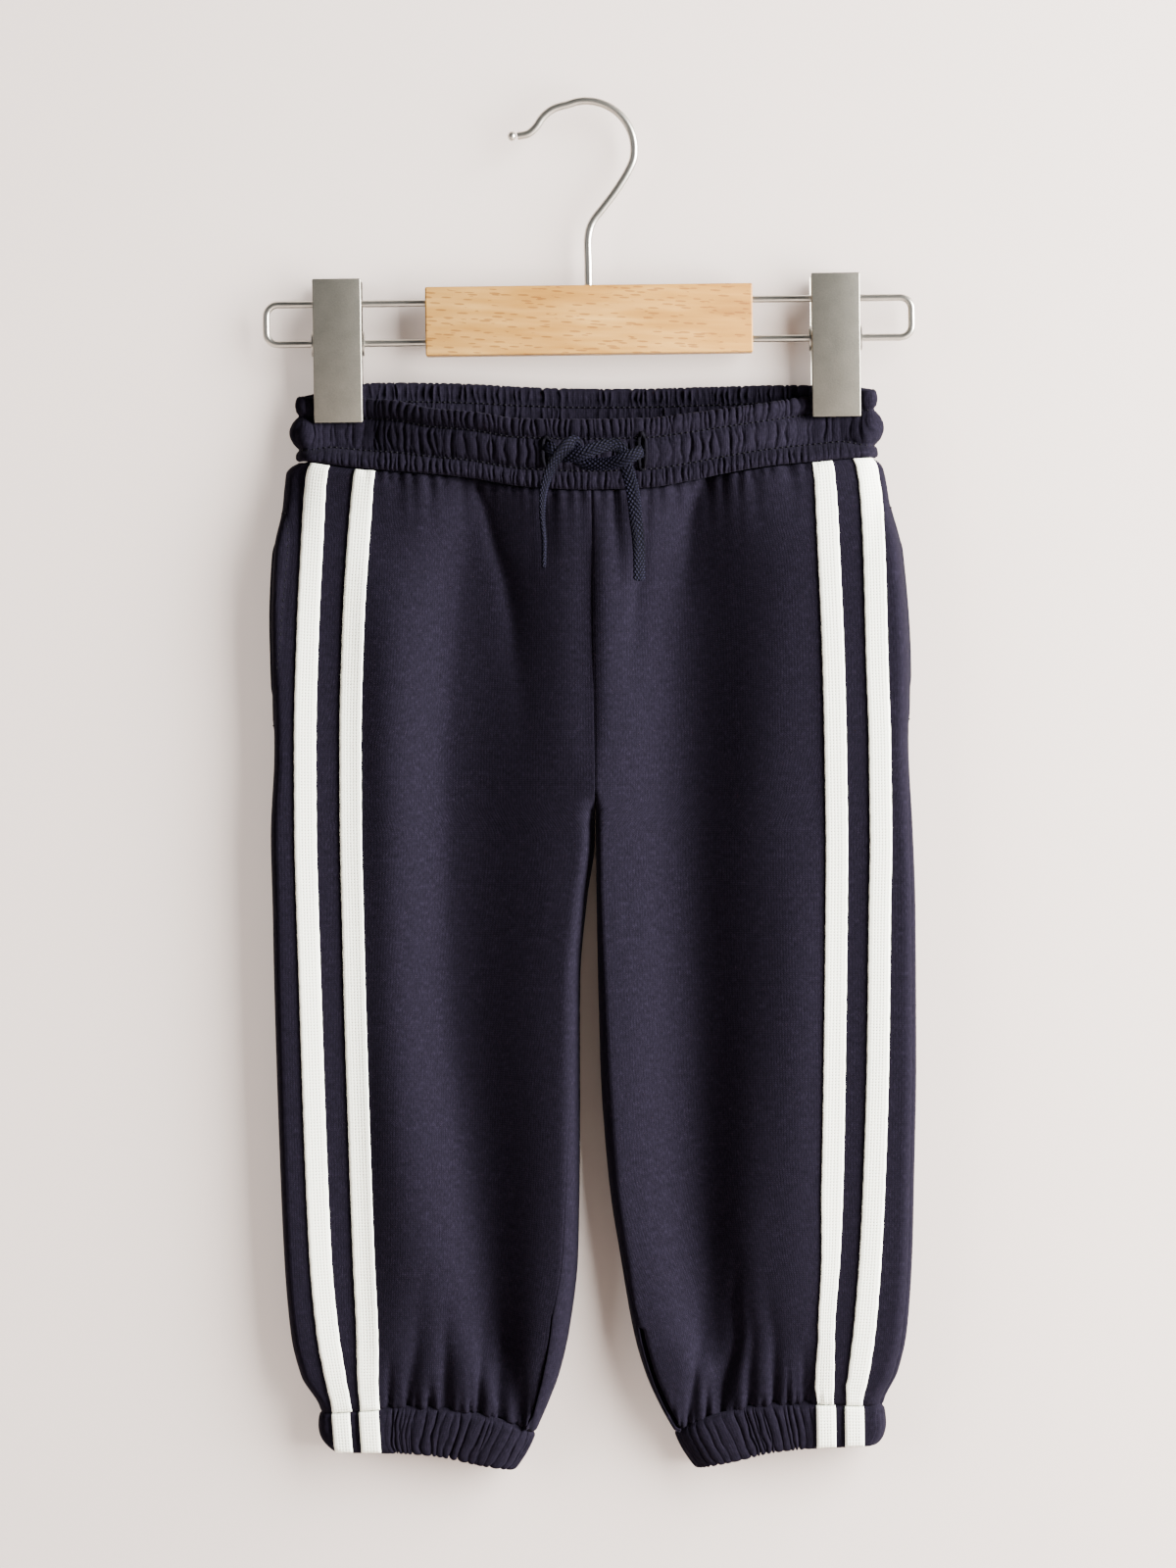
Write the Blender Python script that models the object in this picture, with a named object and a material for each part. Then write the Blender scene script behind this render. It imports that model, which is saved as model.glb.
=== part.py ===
"""Child's jogger sweatpants hanging by the waistband from a clip hanger.

The origin is the inside of the hook's crown, +Z is up, and the garment's front faces -Y.
Right and left are the wearer's: the right leg is at -X, the left leg at +X.
Tables and functions work in millimetres, and meshes and curves are made in metres.
Heights in the tables are "down", millimetres below the origin.
A tube of cloth is a ring of "places" from 0 to 6: from its outer edge across the front
(0 to 3) to its inner edge, and back across the back (3 to 6).
"""

import math
from bisect import bisect_right
from collections import namedtuple

import bmesh
import bpy
from mathutils import Vector

MM = 0.001
QUARTER = math.pi / 2
SEAM_GAP = 0.3
HALF_GAP = SEAM_GAP / 2

# Cloth
PANEL_WALL = 1.2
TAPE_WIDTH = 10.5
TAPE_WALL = 1.0
FACING_WALL = 1.0
FACING_WIDTH = 9.0
FACING_SHOWS = 0.9
CROTCH_DOWN = 314.0
CROTCH_SPLIT = 40.0
WAIST_SETTLES = 45.0
POCKET_TOP = 174.5
POCKET_BOTTOM = 264.5
POCKET_END = 5.0
POCKET_FRONT_GAP = 0.6
POCKET_BACK_GAP = 1.1

# Waistband ring: the inner face's two ends, and its gathers
WAIST_RIGHT = -123.6
WAIST_LEFT = 120.4
WAIST_ROUND = 3.5
WAIST_PINCH_SHARE = 0.45
WAIST_FACE = 1.6
WAIST_GATHERS = 108
CUFF_GATHERS = 44
COLUMNS_PER_GATHER = 3
GATHER_WAVE = (-1.0, 0.6, 0.6)

# Drawcord
CORD_RADIUS = 1.6
CORD_POINTS = 34

# Hanger
WIRE_RADIUS = 1.55
WIRE_HALF_WIDTH = 138.3
WIRE_UPPER = 84.1
WIRE_LOWER = 101.1
WIRE_CORNER = 5.0
BLOCK_WIDTH = 140.0
BLOCK_DEPTH = 12.0
BLOCK_TOP = 77.6
BLOCK_BOTTOM = 107.0
BORE_CLEARANCE = 0.3
STEM_BORE = 30.0
HOOK_RADIUS = 1.75
HOOK_BALL_RADIUS = 2.1
CLIP_CENTRES = {"right": -107.7, "left": 105.5}
CLIP_WIDTH = 20.8
CLIP_TOP = 73.9
CLIP_BOTTOM = 135.2
CLIP_PLATE = 1.2
CLIP_RIM = 2.2
CLIP_RELIEF = 0.45
CLIP_MOUTH = 4.2
CLIP_SPLAY = math.radians(4.0)
SPRING_LENGTH = 14.0
SPRING_RADIUS = 6.1

NAVY = (0.016, 0.015, 0.027, 1.0)
NAVY_BRAID = (0.022, 0.026, 0.038, 1.0)
OFF_WHITE = (0.83, 0.83, 0.80, 1.0)
BEECH = (0.72, 0.55, 0.38, 1.0)
STEEL = (0.62, 0.60, 0.57, 1.0)

# The waistband along x: how far down its edges are, how far the inner face stands off the
# middle where the clips pinch it and where it hangs at the seam, and how full its gathers are.
WaistRow = namedtuple(
    "WaistRow",
    "x front_top front_seam back_top back_seam "
    "front_pinch back_pinch front_hang back_hang fullness",
)
WAIST = (
    WaistRow(-125, 124.0, 151.5, 124.0, 151.5, 2.2, 2.2, 4.0, 3.0, 0.45),
    WaistRow(-118, 124.4, 152.4, 122.5, 150.5, 0.3, 0.3, 5.0, 3.5, 0.35),
    WaistRow(-97, 125.0, 155.4, 118.3, 148.0, 0.3, 0.3, 6.5, 4.5, 0.35),
    WaistRow(-84, 126.0, 156.6, 118.0, 147.5, 4.0, 1.6, 9.0, 5.5, 0.9),
    WaistRow(-68, 129.8, 158.2, 118.2, 148.0, 8.0, 3.0, 11.5, 6.5, 1.0),
    WaistRow(-51, 131.6, 160.2, 118.8, 148.5, 11.0, 4.2, 13.2, 7.2, 1.0),
    WaistRow(-30, 135.0, 164.0, 120.2, 149.5, 13.5, 5.2, 14.6, 8.0, 1.0),
    WaistRow(0, 135.8, 165.9, 121.4, 150.5, 14.5, 6.0, 15.5, 8.5, 1.0),
    WaistRow(24, 135.6, 165.3, 121.6, 150.5, 14.0, 5.8, 15.0, 8.2, 1.0),
    WaistRow(41, 133.8, 162.8, 121.4, 150.0, 12.5, 5.0, 14.0, 7.8, 1.0),
    WaistRow(58, 131.6, 159.4, 121.2, 149.5, 10.0, 4.0, 12.5, 7.0, 1.0),
    WaistRow(75, 129.2, 156.6, 121.0, 149.0, 6.5, 2.6, 10.5, 6.2, 0.9),
    WaistRow(95, 126.0, 154.8, 121.4, 149.0, 0.3, 0.3, 7.0, 4.6, 0.35),
    WaistRow(116, 124.0, 153.2, 122.6, 150.5, 0.3, 0.3, 5.0, 3.5, 0.35),
    WaistRow(122, 123.8, 153.0, 123.8, 153.0, 2.2, 2.2, 4.0, 3.0, 0.45),
)

# A gathered wall from its top edge to its seam: the outer face's height off the plain inner
# face, and half the height of the gathers there. Stitching pinches the waistband twice.
GatherRow = namedtuple("GatherRow", "share out wave")
WAIST_SECTION = (
    GatherRow(0.00, 2.0, 0.45),
    GatherRow(0.27, 1.6, 0.25),
    GatherRow(0.50, 2.9, 0.60),
    GatherRow(0.73, 1.6, 0.25),
    GatherRow(1.00, 1.8, 0.45),
)
CUFF_SECTION = (
    GatherRow(0.00, 1.5, 0.30),
    GatherRow(0.55, 2.7, 0.60),
    GatherRow(1.00, 1.6, 0.35),
)

# Each leg, measured from the middle towards its own side: side seam edge, outer edges of the
# two tapes, inner edge, and how far the side seam and the inseam lie round on the front.
LegRow = namedtuple("LegRow", "down side tape_a tape_b inner side_wrap inseam_wrap")
RIGHT_LEG = (
    LegRow(151.5, 125.7, 120.2, 100.8, 0.0, 0.0, 0.0),
    LegRow(156.5, 130.6, 122.2, 102.0, 0.0, 0.0, 0.0),
    LegRow(172.0, 132.4, 124.0, 103.9, 0.0, 0.0, 0.0),
    LegRow(188.6, 136.0, 125.1, 105.4, 0.0, 0.0, 0.0),
    LegRow(222.0, 137.7, 127.2, 107.8, 0.0, 0.0, 0.0),
    LegRow(272.6, 137.0, 129.1, 109.7, 0.0, 0.0, 0.0),
    LegRow(314.0, 139.0, 129.4, 110.0, 0.2, 0.0, 0.0),
    LegRow(341.0, 138.6, 129.0, 109.7, 3.9, 0.0, 0.0),
    LegRow(375.0, 138.3, 128.3, 109.3, 7.2, 0.0, 0.3),
    LegRow(442.0, 137.0, 126.9, 108.0, 8.1, 0.0, 5.0),
    LegRow(493.0, 135.4, 125.2, 106.8, 9.5, 0.0, 6.8),
    LegRow(525.0, 133.0, 122.5, 105.7, 13.7, 0.0, 8.4),
    LegRow(543.0, 128.8, 119.4, 105.5, 18.1, 0.0, 8.4),
    LegRow(558.0, 120.8, 116.4, 104.5, 24.0, 0.0, 8.8),
    LegRow(569.0, 120.6, 115.8, 104.2, 29.0, 0.0, 9.0),
)
LEFT_LEG = (
    LegRow(153.0, 122.3, 121.6, 103.9, 0.0, 0.0, 0.0),
    LegRow(157.5, 125.4, 123.3, 104.8, 0.0, 0.0, 0.0),
    LegRow(175.0, 128.4, 125.4, 106.1, 0.0, 0.0, 0.0),
    LegRow(192.0, 132.4, 126.1, 106.7, 0.0, 0.0, 0.0),
    LegRow(242.0, 135.4, 126.8, 108.2, 0.0, 0.0, 0.0),
    LegRow(276.0, 134.7, 127.5, 108.6, 0.0, 0.0, 0.0),
    LegRow(314.0, 136.1, 127.5, 108.7, 0.2, 1.6, 0.0),
    LegRow(343.0, 136.8, 126.7, 108.2, 0.2, 1.8, 0.0),
    LegRow(410.0, 136.4, 125.1, 106.6, 0.9, 1.8, 0.0),
    LegRow(460.0, 134.9, 123.0, 105.1, 3.9, 1.8, 0.0),
    LegRow(493.0, 133.7, 121.0, 103.4, 8.5, 1.8, 0.4),
    LegRow(526.5, 131.0, 117.9, 100.6, 14.0, 1.8, 2.8),
    LegRow(544.0, 126.9, 115.1, 100.3, 18.9, 1.6, 3.2),
    LegRow(558.0, 120.6, 112.1, 99.8, 25.0, 1.2, 2.6),
    LegRow(569.0, 120.2, 111.8, 99.8, 31.0, 1.0, 2.2),
)

# How far the legs' outer face stands off the middle, and how wide its edges round over.
DepthRow = namedtuple("DepthRow", "down front back side_round inner_round")
DEPTHS = (
    DepthRow(150, 13.0, 9.0, 10.0, 24.0),
    DepthRow(200, 14.5, 12.0, 26.0, 24.0),
    DepthRow(300, 14.5, 12.5, 30.0, 24.0),
    DepthRow(420, 13.5, 11.5, 30.0, 22.0),
    DepthRow(500, 13.0, 11.0, 28.0, 22.0),
    DepthRow(540, 11.5, 10.5, 22.0, 18.0),
    DepthRow(560, 9.0, 9.0, 13.0, 12.0),
)

# Soft folds that run down a leg: where each starts and ends, its half width, and how deep it
# goes in (a ridge is negative).
Fold = namedtuple("Fold", "face top bottom x_top x_bottom width depth")
RIGHT_FOLDS = (
    Fold("front", 168, 546, 53.0, 54.0, 17.0, 8.0),
    Fold("front", 300, 556, 88.0, 93.0, 10.0, 1.6),
    Fold("back", 175, 540, 72.0, 66.0, 19.0, 5.0),
    Fold("back", 330, 556, 34.0, 40.0, 11.0, 2.6),
)
LEFT_FOLDS = (
    Fold("front", 166, 546, 41.0, 38.0, 18.0, 7.0),
    Fold("front", 380, 556, 84.0, 88.0, 11.0, 2.4),
    Fold("back", 180, 540, 64.0, 70.0, 20.0, 5.0),
    Fold("back", 300, 556, 36.0, 42.0, 12.0, 2.4),
)
FOLD_FADE = 0.22

# The cuffs, across from the side (0) to the inner edge (1): their seam and hem.
CuffEdge = namedtuple("CuffEdge", "across seam hem")
CUFF_EDGES = (
    CuffEdge(0.00, 558.6, 575.2),
    CuffEdge(0.30, 557.4, 575.8),
    CuffEdge(0.55, 558.3, 577.3),
    CuffEdge(0.80, 562.3, 581.2),
    CuffEdge(1.00, 568.6, 584.2),
)
CUFF_SIDE_IN = 4.5
CUFF_INNER_IN = 7.5
CUFF_DEPTH = 6.9
CUFF_ROUND = 11.0
CUFF_TAPE_COLUMNS = 4
CUFF_TAPE_MARGIN = 2.0

Leg = namedtuple("Leg", "name hand rows folds")
LEGS = (Leg("right", -1, RIGHT_LEG, RIGHT_FOLDS), Leg("left", 1, LEFT_LEG, LEFT_FOLDS))

# Rows of the panels' grids: 0 at the waist seam, 1 at the crotch, 2 at the cuff seam.
PANEL_LEVELS = (
    0, 0.035, 0.085, 0.125, 0.155, 0.27, 0.4, 0.55, 0.68, 0.71, 0.82, 0.92, 1,
    1.07, 1.2, 1.36, 1.52, 1.67, 1.8, 1.89, 1.95, 2,
)  # fmt: skip
FRONT_STATIONS = 7
BACK_START = -0.3
BACK_PLACES = (-0.65, -1, -1.2, -1.4, -1.6, -1.8, -2, -2.35, -2.7)
INNER_ARC = (2.35, 2.7)

# The drawcord's two stretches. Each leaves a buttonhole, crosses in the loose half knot and
# hangs on the other side.
CORD_ROUTES = {
    "drawcord_right_end": (
        (22.0, -19.0, -149.8), (20.6, -21.4, -150.2), (17.0, -23.6, -152.0),
        (12.5, -24.2, -154.0), (5.0, -22.6, -155.2), (-2.5, -20.9, -154.6),
        (-6.3, -20.2, -151.6), (-6.4, -20.6, -147.6), (-7.0, -23.0, -145.6),
        (-10.2, -25.2, -147.4), (-14.4, -25.2, -152.4), (-18.2, -23.2, -159.5),
        (-20.5, -20.6, -168.0), (-20.9, -19.0, -177.0), (-20.2, -18.4, -187.5),
        (-20.4, -18.3, -196.7),
    ),
    "drawcord_left_end": (
        (-19.1, -18.9, -145.9), (-17.6, -20.3, -147.6), (-14.6, -20.8, -150.4),
        (-9.5, -23.0, -151.6), (-4.0, -24.3, -150.6), (2.0, -23.4, -148.6),
        (8.2, -21.4, -146.9), (12.4, -20.3, -148.2), (14.4, -20.1, -152.4),
        (15.6, -20.8, -158.0), (17.6, -21.0, -166.5), (18.8, -19.6, -177.5),
        (20.0, -18.6, -190.0), (20.1, -18.4, -202.7),
    ),
}  # fmt: skip

# The hook's wire: up from inside the block, out to the side and over the crown to its tip.
HOOK_STEM = ((0.0, -81.5), (0.0, -76.0), (0.0, -68.0), (0.0, -57.0))
HOOK_RISE = ((2.0, -50.2), (6.6, -44.2), (12.0, -37.2), (16.6, -30.2))
HOOK_CENTRE = (-0.4, -18.9)
HOOK_TURN_RADIUS = 20.65
HOOK_TURN = (-15.0, 112.0)
HOOK_TURN_STEPS = 11
HOOK_TIP = ((-14.0, -1.4), (-18.6, -4.8), (-21.6, -9.0), (-25.0, -12.0), (-29.7, -13.0))
HOOK_BALL = (-32.1, -13.0)


def lerp(low, high, share):
    return low + (high - low) * share


def smooth(share):
    share = min(1.0, max(0.0, share))
    return share * share * (3 - 2 * share)


def read(rows, column, at):
    """A column of a table at a value of its first column, smooth and with no overshoot."""
    keys = [row[0] for row in rows]
    values = [getattr(row, column) for row in rows]
    if at <= keys[0]:
        return values[0]
    if at >= keys[-1]:
        return values[-1]
    i = bisect_right(keys, at) - 1
    slopes = [
        (values[k + 1] - values[k]) / (keys[k + 1] - keys[k]) for k in range(len(keys) - 1)
    ]

    def lean(k):
        if k in (0, len(slopes)):
            return slopes[min(k, len(slopes) - 1)]
        before, after = slopes[k - 1], slopes[k]
        return 2 * before * after / (before + after) if before * after > 0 else 0.0

    span = keys[i + 1] - keys[i]
    t = (at - keys[i]) / span
    return (
        (1 + 2 * t) * (1 - t) ** 2 * values[i]
        + t * t * (3 - 2 * t) * values[i + 1]
        + span * t * (1 - t) * ((1 - t) * lean(i) - t * lean(i + 1))
    )


def through(points, count):
    """Points evenly spaced along a smooth curve through the given points."""
    ends = [2 * points[0] - points[1]] + points + [2 * points[-1] - points[-2]]
    fine = []
    for i in range(len(points) - 1):
        a, b, c, d = ends[i : i + 4]
        for step in range(12):
            t = step / 12
            fine.append(
                0.5
                * (2 * b + (c - a) * t + (2 * a - 5 * b + 4 * c - d) * t * t
                   + (3 * b - a - 3 * c + d) * t ** 3)
            )  # fmt: skip
    fine.append(points[-1])
    run = [0.0]
    for a, b in zip(fine, fine[1:]):
        run.append(run[-1] + (b - a).length)
    result = []
    for k in range(count):
        goal = run[-1] * k / (count - 1)
        i = min(max(bisect_right(run, goal) - 1, 0), len(fine) - 2)
        result.append(fine[i].lerp(fine[i + 1], (goal - run[i]) / (run[i + 1] - run[i])))
    return result


# --- The form of the cloth ---------------------------------------------------------------


def ring(place, start, end, start_round, end_round, opened=0.0):
    """x at a place on a flattened tube, and its lean: 1 on the front, -1 on the back.

    opened is how far the end is spread flat, as at the middle of the hips.
    """
    place %= 6
    way = 1 if end > start else -1
    if place < 1 or place > 5:
        turn = QUARTER * (place if place < 1 else place - 6)
        return start + way * start_round * (1 - math.cos(turn)), math.sin(turn)
    if 2 < place < 4:
        turn = QUARTER * (3 - place)
        inwards = lerp(1 - math.cos(turn), abs(turn) / QUARTER, opened)
        return end - way * end_round * inwards, math.sin(turn)
    across = place - 1 if place <= 2 else 5 - place
    x = lerp(start + way * start_round, end - way * end_round, across)
    return x, 1.0 if place <= 2 else -1.0


def waist_point(place, share, out=0.0):
    """The waistband's inner face at a share of its height, moved out by out."""

    def inner_face(at):
        x, lean = ring(at, WAIST_RIGHT, WAIST_LEFT, WAIST_ROUND, WAIST_ROUND)
        face = "front" if lean >= 0 else "back"
        hang = smooth((share - WAIST_PINCH_SHARE) / (1 - WAIST_PINCH_SHARE))
        pinch_depth = read(WAIST, face + "_pinch", x)
        depth = lerp(pinch_depth, read(WAIST, face + "_hang", x), hang)
        down = lerp(read(WAIST, face + "_top", x), read(WAIST, face + "_seam", x), share)
        return Vector((x, -lean * depth, -down))

    along = inner_face(place + 0.004) - inner_face(place - 0.004)
    outwards = Vector((along.y, -along.x, 0)).normalized()
    return inner_face(place) + outwards * out


def cuff_point(leg, place, share, out=0.0):
    """A cuff's inner face at a share of its height, moved out by out."""
    seam_side = read(leg.rows, "side", 560) - WAIST_FACE
    seam_inner = leg.rows[-1].inner + WAIST_FACE
    side = seam_side - CUFF_SIDE_IN * share**2
    inner = seam_inner + CUFF_INNER_IN * share**2

    def inner_face(at):
        x, lean = ring(at, side, inner, CUFF_ROUND, CUFF_ROUND)
        across = (side - x) / (side - inner)
        seam = read(CUFF_EDGES, "seam", across)
        down = lerp(seam, read(CUFF_EDGES, "hem", across), share)
        return Vector((leg.hand * x, -lean * CUFF_DEPTH, -down))

    along = (inner_face(place + 0.004) - inner_face(place - 0.004)) * leg.hand
    outwards = Vector((-along.y, along.x, 0)).normalized()
    return inner_face(place) + outwards * out


def fold_depth(leg, face, x, down):
    """How far in the folds take a panel, at x and down."""
    total = 0.0
    for fold in leg.folds:
        along = (down - fold.top) / (fold.bottom - fold.top)
        if fold.face != face or not 0 < along < 1:
            continue
        middle = lerp(fold.x_top, fold.x_bottom, along)
        fade = smooth(min(along, 1 - along) / FOLD_FADE)
        total += fold.depth * fade * math.exp(-(((x - middle) / fold.width) ** 2))
    return total


def crotch_open(down):
    """1 where the hips are one tube, 0 below the crotch, where the legs have parted."""
    share = (down - CROTCH_DOWN + CROTCH_SPLIT) / CROTCH_SPLIT
    return (1 + math.cos(math.pi * min(1.0, max(0.0, share)))) / 2


def leg_point(leg, place, level, face):
    """A point of a leg's outer face. level is 0 at the waist seam, 1 at the crotch, 2 at the cuff."""
    top_x, _ = ring(place, leg.rows[0].side, 0, DEPTHS[0].side_round, DEPTHS[0].inner_round, 1)
    top = read(WAIST, face + "_seam", leg.hand * top_x) + SEAM_GAP
    last = leg.rows[-1]
    low_x, _ = ring(place, last.side, last.inner, CUFF_ROUND, CUFF_ROUND)
    across = (last.side - low_x) / (last.side - last.inner)
    bottom = read(CUFF_EDGES, "seam", across) - SEAM_GAP
    if level <= 1:
        down = lerp(top, CROTCH_DOWN, level)
    else:
        down = lerp(CROTCH_DOWN, bottom, level - 1)

    side = read(leg.rows, "side", down)
    inner = read(leg.rows, "inner", down)
    opened = crotch_open(down)
    x, lean = ring(
        place, side, inner,
        read(DEPTHS, "side_round", down), read(DEPTHS, "inner_round", down), opened,
    )  # fmt: skip
    shown = "front" if lean > 0 or (lean == 0 and face == "front") else "back"
    depth = read(DEPTHS, shown, down)
    if 2 < place % 6 < 4:
        lean = lerp(lean, 1 if face == "front" else -1, opened)
    sign = 1 if lean >= 0 else -1

    settle = smooth(1 - (down - top) / WAIST_SETTLES)
    if settle > 0:
        edge = max(0.0, 1 - (side - x) / (WAIST_ROUND + WAIST_FACE))
        hang = read(WAIST, shown + "_hang", leg.hand * x) + WAIST_FACE
        waist_lean = sign * math.sqrt(1 - edge * edge) * hang / depth
        lean = lerp(lean, waist_lean, settle)
    inwards = fold_depth(leg, shown, x, down) * lean * lean
    return Vector((leg.hand * x, sign * inwards - lean * depth, -down))


def leg_normal(leg, place, level, face, first, last):
    """The outward normal of a leg's outer face, read between the panel's first and last places.

    At the two seams it is level, so that a wall stays on its own side of them.
    """
    step = 0.004
    low, high = min(first, last), max(first, last)
    before = leg_point(leg, max(place - step, low), level, face)
    after = leg_point(leg, min(place + step, high), level, face)
    above = leg_point(leg, place, max(level - step, 0), face)
    below = leg_point(leg, place, min(level + step, 2), face)
    normal = (after - before).cross(below - above) * leg.hand
    if level in (0, 2):
        normal.z = 0
    return normal.normalized()


def pocket_open(down):
    """1 along a pocket's mouth, 0 past its ends."""
    past = min(down - POCKET_TOP, POCKET_BOTTOM - down)
    return smooth(past / POCKET_END + 0.5)


def level_down(leg, level, face):
    """How far down a row is at a panel's side edge."""
    return -leg_point(leg, 0.0, level, face).z


def arc_place(wrap, radius):
    return math.acos(1 - min(wrap, radius) / radius) / QUARTER


def side_place(leg, level, face):
    """The place of a panel's edge at the side seam."""
    down = level_down(leg, level, face)
    depth = read(DEPTHS, face, down)
    gap = POCKET_FRONT_GAP if face == "front" else POCKET_BACK_GAP
    half = lerp(HALF_GAP, gap, pocket_open(down)) / depth / QUARTER
    if level < 0.1:
        half *= 3
    seam = arc_place(read(leg.rows, "side_wrap", down), read(DEPTHS, "side_round", down))
    return seam + half if face == "front" else seam - half


def inner_place(leg, level, face):
    """The place of a panel's edge at the middle of the hips, and below that at the inseam."""
    down = -leg_point(leg, 3.0, level, face).z
    radius = read(DEPTHS, "inner_round", down)
    turn = arc_place(read(leg.rows, "inseam_wrap", down), radius)
    speed = math.hypot(
        radius * math.sin(turn * QUARTER), read(DEPTHS, "back", down) * math.cos(turn * QUARTER)
    )
    half = HALF_GAP / speed / QUARTER
    return 3 - turn - half if face == "front" else -3 - turn + half


def front_place(leg, level, x):
    """The place on a leg's front at x."""
    down = level_down(leg, level, "front")
    side = read(leg.rows, "side", down)
    radius = read(DEPTHS, "side_round", down)
    if side - x < radius:
        return arc_place(side - x, radius)
    flat_end = read(leg.rows, "inner", down) + read(DEPTHS, "inner_round", down)
    return 1 + (side - radius - x) / (side - radius - flat_end)


def tape_places(leg, level, tape):
    """The places of a tape's outer and inner edges."""
    down = level_down(leg, level, "front")
    outer = read(leg.rows, tape, down)
    return front_place(leg, level, outer), front_place(leg, level, outer - TAPE_WIDTH)


def front_places(leg, level):
    """The columns of a front panel: its side, the tapes' edges, the flat, the inner edge."""
    first = side_place(leg, level, "front")
    outer_tape = tape_places(leg, level, "tape_a")
    inner_tape = tape_places(leg, level, "tape_b")
    places = [first, lerp(first, outer_tape[0], 0.5), *outer_tape, *inner_tape]
    start = inner_tape[1]
    places += [lerp(start, 2, k / FRONT_STATIONS) for k in range(1, FRONT_STATIONS + 1)]
    last = inner_place(leg, level, "front")
    return places + [lerp(2, last, place - 2) for place in INNER_ARC] + [last]


def back_places(leg, level):
    """The columns of a back panel, from the side seam round to the inseam."""
    first, last = side_place(leg, level, "back"), inner_place(leg, level, "back")
    start = (first + BACK_START) / 2 if first > 0 else BACK_START
    return [first, start, *BACK_PLACES, last]


# --- Making meshes -----------------------------------------------------------------------


def material(name, colour, roughness, metallic=0.0):
    made = bpy.data.materials.new(name)
    made.use_nodes = True
    shader = made.node_tree.nodes["Principled BSDF"]
    shader.inputs["Base Color"].default_value = colour
    shader.inputs["Roughness"].default_value = roughness
    shader.inputs["Metallic"].default_value = metallic
    return made


def add_object(name, bm, finish, collection, smooth_angle=40.0):
    """Writes a bmesh in millimetres to a mesh object in metres."""
    bmesh.ops.recalc_face_normals(bm, faces=bm.faces)
    bmesh.ops.scale(bm, vec=(MM, MM, MM), verts=bm.verts)
    mesh = bpy.data.meshes.new(name)
    bm.to_mesh(mesh)
    bm.free()
    mesh.shade_smooth()
    mesh.set_sharp_from_angle(angle=math.radians(smooth_angle))
    mesh.materials.append(finish)
    made = bpy.data.objects.new(name, mesh)
    collection.objects.link(made)
    return made


def grid_steps(vert, columns, rows):
    """A grid vertex's column and row."""
    return round((vert.co.x + 1) / 2 * columns), round((vert.co.y + 1) / 2 * rows)


def cloth_wall(columns, rows, outer, inner):
    """A closed wall between two faces, outer(column, row) and inner(column, row)."""
    bm = bmesh.new()
    bmesh.ops.create_grid(bm, x_segments=columns, y_segments=rows, size=1)
    copied = bmesh.ops.duplicate(bm, geom=bm.verts[:] + bm.edges[:] + bm.faces[:])["geom"]
    inside = {part for part in copied if isinstance(part, bmesh.types.BMVert)}
    edges = [edge for edge in bm.edges if edge.is_boundary]
    for vert in bm.verts:
        column, row = grid_steps(vert, columns, rows)
        vert.co = (inner if vert in inside else outer)(column, row)
    bmesh.ops.bridge_loops(bm, edges=edges)
    return bm


def ring_wall(columns, sections, point):
    """A closed ring whose section, too, is closed: point(column, section)."""
    bm = bmesh.new()
    bmesh.ops.create_grid(bm, x_segments=columns, y_segments=sections, size=1)
    for vert in bm.verts:
        column, section = grid_steps(vert, columns, sections)
        vert.co = point(column % columns, section % sections)
    bmesh.ops.remove_doubles(bm, verts=bm.verts, dist=0.0001)
    return bm


def even_places(point, count):
    """Places that part a ring's outline into equal lengths."""
    steps = 900
    outline = [point(6 * k / steps) for k in range(steps + 1)]
    run = [0.0]
    for a, b in zip(outline, outline[1:]):
        run.append(run[-1] + (b - a).length)
    places = []
    for k in range(count):
        goal = run[-1] * k / count
        i = bisect_right(run, goal) - 1
        places.append(6 * (i + (goal - run[i]) / (run[i + 1] - run[i])) / steps)
    return places


def gathered_ring(point, section, gathers, fullness):
    """A ring with gathers raised on its outer face, over a plain inner face."""
    columns = gathers * COLUMNS_PER_GATHER
    places = even_places(lambda place: point(place, 0.5, section[1].out), columns)
    shares = [row.share for row in section]

    def ring_point(column, step):
        place = places[column]
        if step >= len(section):
            return point(place, shares[-1] if step == len(section) else shares[0], 0.0)
        row = section[step]
        wave = GATHER_WAVE[column % COLUMNS_PER_GATHER] * row.wave
        return point(place, row.share, row.out + wave * fullness(place))

    return ring_wall(columns, len(section) + 2, ring_point)


# --- The garment -------------------------------------------------------------------------


def make_waistband(collection, navy):
    def fullness(place):
        x, _ = ring(place, WAIST_RIGHT, WAIST_LEFT, WAIST_ROUND, WAIST_ROUND)
        return read(WAIST, "fullness", x)

    bm = gathered_ring(waist_point, WAIST_SECTION, WAIST_GATHERS, fullness)
    add_object("waistband", bm, navy, collection)


def make_panel(leg, face, places_at, collection, navy):
    """One front or back panel, from the waist seam to the cuff seam."""
    rows = [places_at(leg, level) for level in PANEL_LEVELS]

    def outer(column, row):
        return leg_point(leg, rows[row][column], PANEL_LEVELS[row], face)

    def inner(column, row):
        places, level = rows[row], PANEL_LEVELS[row]
        normal = leg_normal(leg, places[column], level, face, places[0], places[-1])
        return outer(column, row) - normal * PANEL_WALL

    bm = cloth_wall(len(rows[0]) - 1, len(PANEL_LEVELS) - 1, outer, inner)
    add_object(f"{leg.name}_{face}_panel", bm, navy, collection)


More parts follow.
